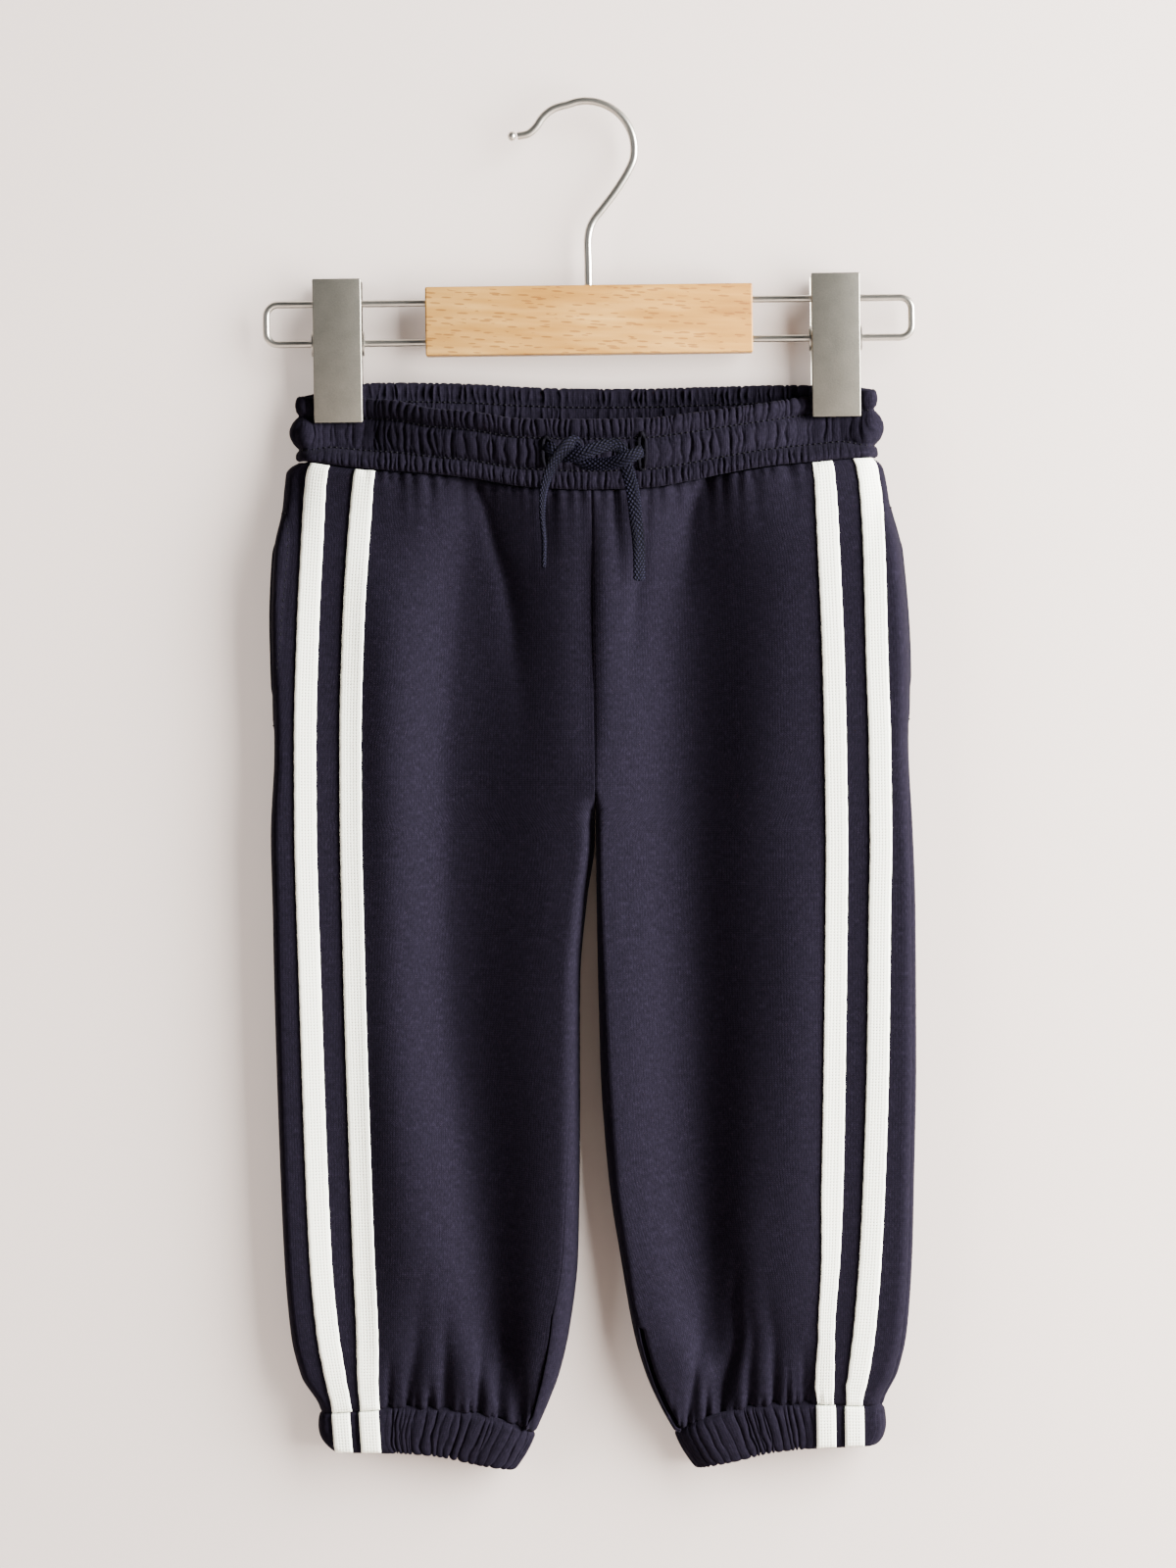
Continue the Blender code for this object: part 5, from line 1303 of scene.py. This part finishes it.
def make_buttonhole(name, thread):
    """An upright eyelet of close stitches that lie flush round its slit."""
    bm = bmesh.new()
    x, share = buttonhole_shares()[name]
    place = float(np.interp(x, *waist_front_places()))
    height = float(WAIST["front_seam"](x) - WAIST["front_top"](x))
    ahead = waist_point(np.array([place, place + 0.01]), np.array([share]), 3.0)
    side = Vector(unit(ahead[1] - ahead[0]))
    facing = Vector((side.y, -side.x, 0)).normalized()
    up = facing.cross(side)
    count = 84
    for k in range(count):
        angle = 2 * math.pi * k / count
        across, rise = 1.55 * math.cos(angle), BUTTONHOLES[name][2] * math.sin(angle)
        spot = float(np.interp(x + across, *waist_front_places()))
        high = share - rise / height
        middle = Vector(waist_point(np.array(spot), np.array(high), WAIST_OUTER["out"](high) + 0.45))
        way = side * math.cos(angle) + up * math.sin(angle)
        around = facing.cross(way)
        made = bmesh.ops.create_icosphere(bm, subdivisions=1, radius=0.5)["verts"]
        turn = Matrix((way * 2.0, around * 0.5, facing * 0.9)).transposed()
        for vert in made:
            vert.co = turn @ vert.co + middle
    write_piece(bm, name, thread, [])


def waist_front_places():
    """x along the waistband's front, and the places there."""
    places = np.linspace(0.2, 2.8, 400)
    x, _ = ring(places, WAIST_RIGHT, WAIST_LEFT, WAIST_ROUND, WAIST_ROUND)
    return x, places


# --- The legs ----------------------------------------------------------------------------


def panel_levels():
    """Rows of a panel, closer together by the waist seam and by the cuff."""
    return np.concatenate((
        np.linspace(0, 0.006, 3)[:-1], np.linspace(0.006, 0.20, 38)[:-1],
        np.linspace(0.20, 1.0, 56)[:-1], np.linspace(1.0, 1.74, 68)[:-1],
        np.linspace(1.74, 1.994, 62)[:-1], np.linspace(1.994, 2.0, 3),
    ))


EDGE_STEPS = np.array((0.0, 0.3, 0.7, 1.2, 1.9))


def panel_places(name, face, levels, columns):
    """Each row's places: evenly spaced over the panel, and close together at its edges."""
    first = side_place(name, levels, face)
    last = inner_place(name, levels, face)
    dense = np.linspace(0, 1, 260)[None, :]
    tries = lerp(first[:, None], last[:, None], dense)
    spots = leg_point(name, tries, levels[:, None], face)
    steps = np.linalg.norm(np.diff(spots, axis=1), axis=2)
    run = np.concatenate((np.zeros((len(levels), 1)), np.cumsum(steps, axis=1)), 1)
    places, offs = [], []
    for row in range(len(levels)):
        width = run[row, -1]
        middle = np.linspace(EDGE_STEPS[-1], width - EDGE_STEPS[-1], columns)
        goal = np.concatenate((EDGE_STEPS[:-1], middle, width - EDGE_STEPS[-2::-1]))
        places.append(np.interp(goal, run[row], tries[row]))
        offs.append(np.stack((goal, width - goal)))
    return np.array(places), np.array(offs), first, last


def cloth_at(name, place, level, face, first, last):
    """A leg's creased outer face, its normal, and how far each point is from the seams."""
    spot = leg_point(name, place, level, face)
    normal = leg_normal(name, place, level, face, first, last)
    top, bottom = row_ends(LEGS[name], place, face)
    down = -spot[..., 2]
    to_waist, to_cuff = down - top, bottom - down
    x = np.abs(spot[..., 0])
    depth = crease_depth(f"{name}_{face}", x, down, to_waist, to_cuff)
    facing = smooth(np.abs(normal[..., 1]) * 1.6)
    return spot - normal * (depth * facing)[..., None], normal, to_waist, to_cuff


def make_panel(name, face, finish):
    """One front or back panel. Its edges turn in at the seams."""
    levels = panel_levels()
    places, offs, first, last = panel_places(name, face, levels, 92)
    level = levels[:, None]
    spot, normal, to_waist, to_cuff = cloth_at(
        name, places, level, face, first[:, None], last[:, None]
    )
    down = -spot[..., 2]
    to_side, to_inner = offs[:, 0], offs[:, 1]
    inner_in, inner_reach = (0.0, 0.4) if name == "right" else (0.55, 0.8)
    seam_in = 0.75 * np.exp(-((to_side / 0.9) ** 2))
    seam_in += inner_in * np.exp(-((to_inner / inner_reach) ** 2))
    seam_in += 0.7 * np.exp(-((to_waist / 1.1) ** 2)) + 0.7 * np.exp(-((to_cuff / 0.9) ** 2))
    if face == "front":
        mouth = pocket_open(down)
        hem = 0.45 * smooth((POCKET_STITCH + 0.4 - to_side) / 1.2)
        groove = 0.5 * np.exp(-(((to_side - POCKET_STITCH) / 0.55) ** 2))
        seam_in = seam_in - mouth * (hem - groove + 0.75 * np.exp(-((to_side / 0.9) ** 2)))
    spot = spot - normal * seam_in[..., None]
    bm = grid_sheet(spot)
    face_out(bm, (0, -1 if face == "front" else 1, 0))
    made = write_piece(bm, f"{name}_{face}_cloth", finish, [f"{name}_{face}_panel"])
    return thicken(made, PANEL_WALL)


def make_tape(name, label, tape, finish):
    """A tape sewn down a front panel, its edges drawn in by the stitching."""
    level = panel_levels()[:, None]
    leg = LEGS[name]
    shares = np.array((0.0, 0.035, 0.09, 0.2, 0.35, 0.5, 0.65, 0.8, 0.91, 0.965, 1.0))[None, :]
    rise = np.array((0.45, 0.8, 0.95, 1, 1, 1, 1, 1, 0.95, 0.8, 0.45))[None, :]
    places, down = tape_places(name, tape, level, shares)
    spot, normal, to_waist, to_cuff = cloth_at(name, places, level, "front", 0, 3)
    pull = 0.07 * np.sin(down / 1.35) * (shares - 0.5) * 2
    tuck = 0.75 * np.exp(-((to_waist / 1.3) ** 2)) + 0.8 * np.exp(-((to_cuff / 0.7) ** 2))
    height = SEAM_GAP + TAPE_WALL * rise - tuck
    spot = spot + normal * height[..., None]
    spot[..., 0] += leg["hand"] * pull
    bm = grid_sheet(spot, centred=True)
    face_out(bm, (0, -1, 0))
    made = write_piece(bm, f"{name}_{label}_tape_woven", finish, [f"{name}_{label}_tape"])
    return thicken(made, TAPE_WALL * 0.62)


def make_facing(name, finish):
    """The strip behind a pocket's mouth."""
    leg = LEGS[name]
    down = np.linspace(POCKET_TOP, POCKET_BOTTOM, 61)
    end = smooth(np.minimum(down - POCKET_TOP, POCKET_BOTTOM - down) / 18)
    edge = leg["side"](down) + lerp(-2.0, 0.9, end)
    width = lerp(6.0, 9.0, end)
    shares = np.linspace(0, 1, 9)
    x = edge[:, None] - shares[None, :] * width[:, None]
    points = xyz(leg["hand"] * x, -0.25 + 0.15 * np.sin(down / 9)[:, None], down[:, None])
    bm = grid_sheet(points)
    face_out(bm, (0, -1, 0))
    made = write_piece(
        bm, f"{name}_pocket_facing_cloth", finish, [f"{name}_pocket_facing"]
    )
    return thicken(made, 1.0)


# --- The cuffs ---------------------------------------------------------------------------

CUFF_OUTER = table(
    "share out cut",
    ((-0.1, 0.4, 0.2), (0.0, 1.5, 1.0), (0.03, 1.9, 1.7), (0.12, 2.35, 2.2), (0.5, 2.8, 2.5),
     (0.85, 2.5, 2.3), (0.96, 2.2, 2.0), (1.0, 1.7, 1.4), (1.015, 1.0, 0.5)),
)
CUFF_INNER = table(
    "share out cut",
    ((-0.1, -0.4, 0.1), (0.0, -0.2, 0.2), (0.04, 0.0, 0.3), (0.5, 0.0, 0.3), (0.95, 0.15, 0.3),
     (1.0, 0.5, 0.3), (1.015, 1.0, 0.3)),
)
CUFF_MARKS = (0.0, 0.3, 0.55, 0.8, 1.0)
TAPE_FREE = 1.0
# Each cuff tape's outer edge from the middle, its width, and how far in it comes at the hem.
CUFF_TAPES = {
    "right": (("outer", 115.7, 7.8, 1.2), ("inner", 104.1, 8.5, 1.0)),
    "left": (("outer", 111.7, 8.2, 0.0), ("inner", 99.6, 8.3, -0.1)),
}


def cuff_fullness(name, place):
    """1 where a cuff is gathered, less beside the side edge, and 0 under its tapes."""
    leg = LEGS[name]
    x = np.abs(cuff_point(leg, place, 0.5)[..., 0])
    front = place < 3
    calm = np.zeros_like(x)
    for _, edge, width, drift in CUFF_TAPES[name]:
        off = np.abs(x - edge + (width + drift) / 2) - width / 2 - TAPE_FREE
        calm = np.maximum(calm, 1 - smooth(off / 1.5))
    side = smooth((x - (leg["last"][3] + 0.5)) / 2.0)
    calm = np.maximum(calm, 0.55 * side)
    return 1 - calm * front


def cuff_x_places(leg, x, share, out):
    """The places on a cuff's front whose outside is at x, row by row."""
    dense = np.linspace(0, 2.2, 240)
    rows = []
    for row_x, row_share, row_out in zip(x, share, out):
        outside = np.abs(cuff_point(leg, dense, row_share, row_out)[..., 0])
        rows.append(np.interp(row_x, outside[::-1], dense[::-1]))
    return np.array(rows)


def make_cuff(name, finish, white):
    """An elasticated cuff, gathered all round but under its two tapes.

    Its wall goes on a little way up behind the leg's edge.
    """
    leg = LEGS[name]
    columns = CUFF_GATHERS * 13

    def flat_point(place):
        return cuff_point(leg, place, 0.5, 2.0)

    places, length = even_places(flat_point, columns)
    outer = np.concatenate((np.linspace(-0.1, 0.03, 5), np.linspace(0.07, 0.93, 15),
                            np.linspace(0.96, 1.015, 4)))
    inner = np.linspace(1.0, -0.1, 10)
    shares = np.concatenate((outer, inner, outer[:1]))
    facing_in = np.concatenate((np.zeros(len(outer)), np.ones(len(inner)), [0]))[:, None]
    out = np.where(facing_in, CUFF_INNER["out"](shares)[:, None], CUFF_OUTER["out"](shares)[:, None])
    cut = np.where(facing_in, CUFF_INNER["cut"](shares)[:, None], CUFF_OUTER["cut"](shares)[:, None])
    run = np.linspace(0, length, len(places))
    seed = 31 if name == "right" else 47
    full = cuff_fullness(name, places)
    field = gathers(run, length, CUFF_GATHERS, seed, shares, CUFF_MARKS, 0.9, 0.25, 0.42)
    field = field * full * (0.95 + 0.45 * wander(run, seed + 3, 6.5))
    edge = np.exp(-(((shares - 1.01) / 0.10) ** 2))[:, None]
    points = cuff_point(
        leg, places[None, :], shares[:, None], out - cut * field, -3.0 * edge * field
    )
    points[:, -1] = points[:, 0]
    points[-1] = points[0]
    bm = grid_sheet(points, True, True)
    bmesh.ops.recalc_face_normals(bm, faces=bm.faces)
    made = write_piece(bm, f"{name}_cuff_gathered", finish, [f"{name}_cuff"])
    for label, outer_x, width, drift in CUFF_TAPES[name]:
        across = np.array((0.0, 0.04, 0.12, 0.3, 0.5, 0.7, 0.88, 0.96, 1.0))
        rise = np.array((0.4, 0.8, 1, 1, 1, 1, 1, 0.8, 0.4))
        down = np.linspace(0.0, 1.0, 30)
        tuck = 0.75 * np.exp(-((down / 0.04) ** 2)) + 0.5 * np.exp(-(((1 - down) / 0.03) ** 2))
        height = 0.35 + TAPE_WALL * rise[None, :] - tuck[:, None]
        rows, columns = np.meshgrid(down, across, indexing="ij")
        x = outer_x - drift * rows - columns * width
        out = CUFF_OUTER["out"](down) + 1.0
        spot = cuff_point(
            leg, cuff_x_places(leg, x, down, out), rows, CUFF_OUTER["out"](down)[:, None] + height
        )
        bm = grid_sheet(spot, centred=True)
        face_out(bm, (0, -1, 0))
        tape = write_piece(
            bm, f"{name}_{label}_cuff_tape_woven", white,
            [f"{name}_{label}_cuff_tape"],
        )
        thicken(tape, TAPE_WALL * 0.62)


# --- Sewing on the panels ----------------------------------------------------------------


def make_pocket_sewing(name, thread):
    """The topstitch beside a pocket's mouth, and a bar of close stitches at each end."""
    levels = panel_levels()
    places, offs, first, last = panel_places(name, "front", levels, 92)
    spot, normal, _, _ = cloth_at(
        name, places, levels[:, None], "front", first[:, None], last[:, None]
    )
    line, facing = [], []
    for row in range(len(levels)):
        side_off = offs[row, 0]
        line.append([np.interp(POCKET_STITCH, side_off, spot[row, :, k]) for k in range(3)])
        facing.append([np.interp(POCKET_STITCH, side_off, normal[row, :, k]) for k in range(3)])
    line, facing = np.array(line), np.array(facing)
    down = -line[:, 2]
    keep = (down > POCKET_TOP) & (down < POCKET_BOTTOM)
    bm = bmesh.new()
    stitch_row(bm, line[keep], facing[keep], 1.9, 0.5, 1.0, 0.05)
    for end in (POCKET_TOP, POCKET_BOTTOM):
        row = int(np.argmin(np.abs(down - end)))
        side_off = offs[row, 0]
        keep = (side_off > 0.2) & (side_off < POCKET_STITCH + 1.2)
        bar = spot[row][keep]
        stitch_row(bm, bar, normal[row][keep], 0.55, 0.85, -0.05, 0.2)
    return write_piece(bm, f"{name}_pocket_stitches", thread, [])


# --- The hanger --------------------------------------------------------------------------


def make_hook(steel):
    turn = np.radians(np.linspace(*HOOK_TURN, 11))
    crown = np.stack((HOOK_CENTRE[0] + HOOK_TURN_RADIUS * np.cos(turn),
                      HOOK_CENTRE[1] + HOOK_TURN_RADIUS * np.sin(turn)), 1)
    flat = np.vstack((HOOK_STEM, HOOK_RISE, crown, HOOK_TIP))
    flat = through(flat, 120)
    points = xyz(flat[:, 0], 0.0, -flat[:, 1])
    add_wire("hook_wire", points, HOOK_RADIUS, steel, ["hanger_hook"], sides=6)
    bm = bmesh.new()
    bmesh.ops.create_uvsphere(bm, u_segments=24, v_segments=16, radius=HOOK_BALL_RADIUS)
    bmesh.ops.scale(bm, vec=(0.86, 1, 1), verts=bm.verts)
    bmesh.ops.translate(bm, vec=(HOOK_BALL[0], 0, HOOK_BALL[1]), verts=bm.verts)
    write_piece(bm, "hook_ball", steel, ["hanger_hook_ball"])


def make_wire_loop(steel):
    points = []
    corners = ((1, WIRE_UPPER, 90), (1, WIRE_LOWER, 0), (-1, WIRE_LOWER, -90), (-1, WIRE_UPPER, 180))
    for hand, down, start in corners:
        inset = WIRE_CORNER if down == WIRE_UPPER else -WIRE_CORNER
        centre = Vector((hand * (WIRE_HALF_WIDTH - WIRE_CORNER), 0, -down - inset))
        for step in range(13):
            angle = math.radians(start - step * 7.5)
            points.append(centre + WIRE_CORNER * Vector((math.cos(angle), 0, math.sin(angle))))
    add_wire("rail_wire", points, WIRE_RADIUS, steel, ["hanger_wire"], True, 6)


def make_block(wood):
    """The wood block, bored for the rails and the hook's stem."""
    bm = bmesh.new()
    bmesh.ops.create_cube(bm, size=1)
    height = BLOCK_BOTTOM - BLOCK_TOP
    bmesh.ops.scale(bm, vec=(BLOCK_WIDTH, BLOCK_DEPTH, height), verts=bm.verts)
    bmesh.ops.translate(bm, vec=(0, 0, -(BLOCK_TOP + BLOCK_BOTTOM) / 2), verts=bm.verts)
    bmesh.ops.bevel(
        bm, geom=bm.edges[:], offset=0.7, segments=3, profile=0.5, affect="EDGES", material=-1
    )
    bmesh.ops.recalc_face_normals(bm, faces=bm.faces)
    block = write_piece(bm, "beech_block", wood, ["hanger_block"], sharp=35)
    cutters = []
    for radius, length, x_turn, down in (
        (WIRE_RADIUS, BLOCK_WIDTH * 1.2, True, WIRE_UPPER),
        (WIRE_RADIUS, BLOCK_WIDTH * 1.2, True, WIRE_LOWER),
        (HOOK_RADIUS, 30.0, False, -HOOK_STEM[0][1] + BORE_CLEARANCE - 15.0),
    ):
        bm = bmesh.new()
        bmesh.ops.create_cone(
            bm, cap_ends=True, segments=24, radius1=radius + BORE_CLEARANCE,
            radius2=radius + BORE_CLEARANCE, depth=length,
        )
        if x_turn:
            bmesh.ops.rotate(
                bm, cent=(0, 0, 0), matrix=Matrix.Rotation(QUARTER, 3, "Y"), verts=bm.verts
            )
        bmesh.ops.translate(bm, vec=(0, 0, -down), verts=bm.verts)
        bmesh.ops.scale(bm, vec=(MM, MM, MM), verts=bm.verts)
        mesh = bpy.data.meshes.new("cutter")
        bm.to_mesh(mesh)
        bm.free()
        cutter = bpy.data.objects.new("cutter", mesh)
        bpy.context.scene.collection.objects.link(cutter)
        cut = block.modifiers.new("bore", "BOOLEAN")
        cut.operation = "DIFFERENCE"
        cut.object = cutter
        cutters.append(cutter)
    graph = bpy.context.evaluated_depsgraph_get()
    mesh = bpy.data.meshes.new_from_object(block.evaluated_get(graph))
    block.modifiers.clear()
    block.data = mesh
    for cutter in cutters:
        bpy.data.objects.remove(cutter, do_unlink=True)


def make_clip(side, plate, steel):
    """A spring clip: two pressed plates with turned-in edges, ears and a coil spring."""
    centre = CLIP_CENTRES[side]
    height = CLIP_BOTTOM - CLIP_TOP
    for label, way in (("front", -1), ("back", 1)):
        bm = bmesh.new()
        bmesh.ops.create_cube(bm, size=1)
        bmesh.ops.scale(bm, vec=(CLIP_WIDTH, CLIP_PLATE, height), verts=bm.verts)
        bm.normal_update()
        inside = [face for face in bm.faces if face.normal.y * way < -0.9]
        bmesh.ops.inset_region(bm, faces=inside, thickness=0.9)
        bmesh.ops.translate(
            bm, vec=(0, way * 0.35, 0), verts=list({v for f in inside for v in f.verts})
        )
        rim = [
            edge for edge in bm.edges
            if all(vert.co.y * way > CLIP_PLATE / 2 - 0.01 for vert in edge.verts)
            or abs(edge.verts[0].co.y - edge.verts[1].co.y) > CLIP_PLATE * 0.9
        ]
        bmesh.ops.bevel(
            bm, geom=rim, offset=0.55, segments=4, profile=0.5, affect="EDGES", material=-1
        )
        half_mouth = CLIP_MOUTH + CLIP_PLATE / 2
        bmesh.ops.translate(bm, vec=(0, way * half_mouth, height / 2), verts=bm.verts)
        for vert in bm.verts:
            vert.co.y += way * vert.co.z * math.tan(CLIP_SPLAY)
        bmesh.ops.translate(bm, vec=(centre, 0, -CLIP_BOTTOM), verts=bm.verts)
        bmesh.ops.recalc_face_normals(bm, faces=bm.faces)
        write_piece(
            bm, f"{side}_clip_{label}_plate", plate,
            [f"{side}_clip_{label}_jaw"], sharp=45,
        )
    turns, points = 8, []
    wire = 0.8
    radius = SPRING_RADIUS - wire - 0.1
    for step in range(turns * 20 + 1):
        angle = step / 20 * 2 * math.pi + QUARTER
        x = centre + lerp(-6.6, 6.6, step / (turns * 20))
        points.append((x, radius * math.cos(angle), -WIRE_LOWER + radius * math.sin(angle)))
    add_wire(
        f"{side}_clip_coil", points, wire, steel, [f"{side}_clip_spring"], sides=3
    )
    bm = bmesh.new()
    for x in (centre - CLIP_WIDTH / 2 - 0.45, centre + CLIP_WIDTH / 2 + 0.45):
        made = bmesh.ops.create_cone(
            bm, cap_ends=True, segments=32, radius1=5.4, radius2=5.4, depth=0.9
        )["verts"]
        bmesh.ops.rotate(bm, cent=(0, 0, 0), matrix=Matrix.Rotation(QUARTER, 3, "Y"), verts=made)
        bmesh.ops.translate(bm, vec=(x, 1.6, -WIRE_LOWER), verts=made)
    bmesh.ops.recalc_face_normals(bm, faces=bm.faces)
    write_piece(bm, f"{side}_clip_ears", steel, [], sharp=35)


# --- Putting it together -----------------------------------------------------------------


def main():
    make_camera()
    jersey = jersey_material()
    white = tape_material()
    braid = braid_material()
    navy_thread = thread_material("navy_thread", (0.0015, 0.0013, 0.0023))
    ring_thread = thread_material("navy_ring_thread", (0.0026, 0.0023, 0.0041), 0.95)
    steel = nickel_material("nickel_wire", 0.00004, 0.33, (0.47, 0.455, 0.41))
    plate = nickel_material("nickel_plate", 0.0001, 0.42, (0.245, 0.235, 0.2))
    wood = beech_material()

    cords = [make_drawcord(name, braid) for name in CORD_ROUTES]
    make_light(make_stage(), cords)

    make_waistband(jersey, navy_thread)
    for name in BUTTONHOLES:
        make_buttonhole(name, ring_thread)
    for name in LEGS:
        front = make_panel(name, "front", jersey)
        back = make_panel(name, "back", jersey)
        extras = [
            make_tape(name, "outer", "tape_a", white),
            make_tape(name, "inner", "tape_b", white),
            make_facing(name, jersey),
            make_pocket_sewing(name, navy_thread),
        ]
        make_cuff(name, jersey, white)
    make_hook(steel)
    make_wire_loop(steel)
    make_block(wood)
    for side in CLIP_CENTRES:
        make_clip(side, plate, steel)


main()
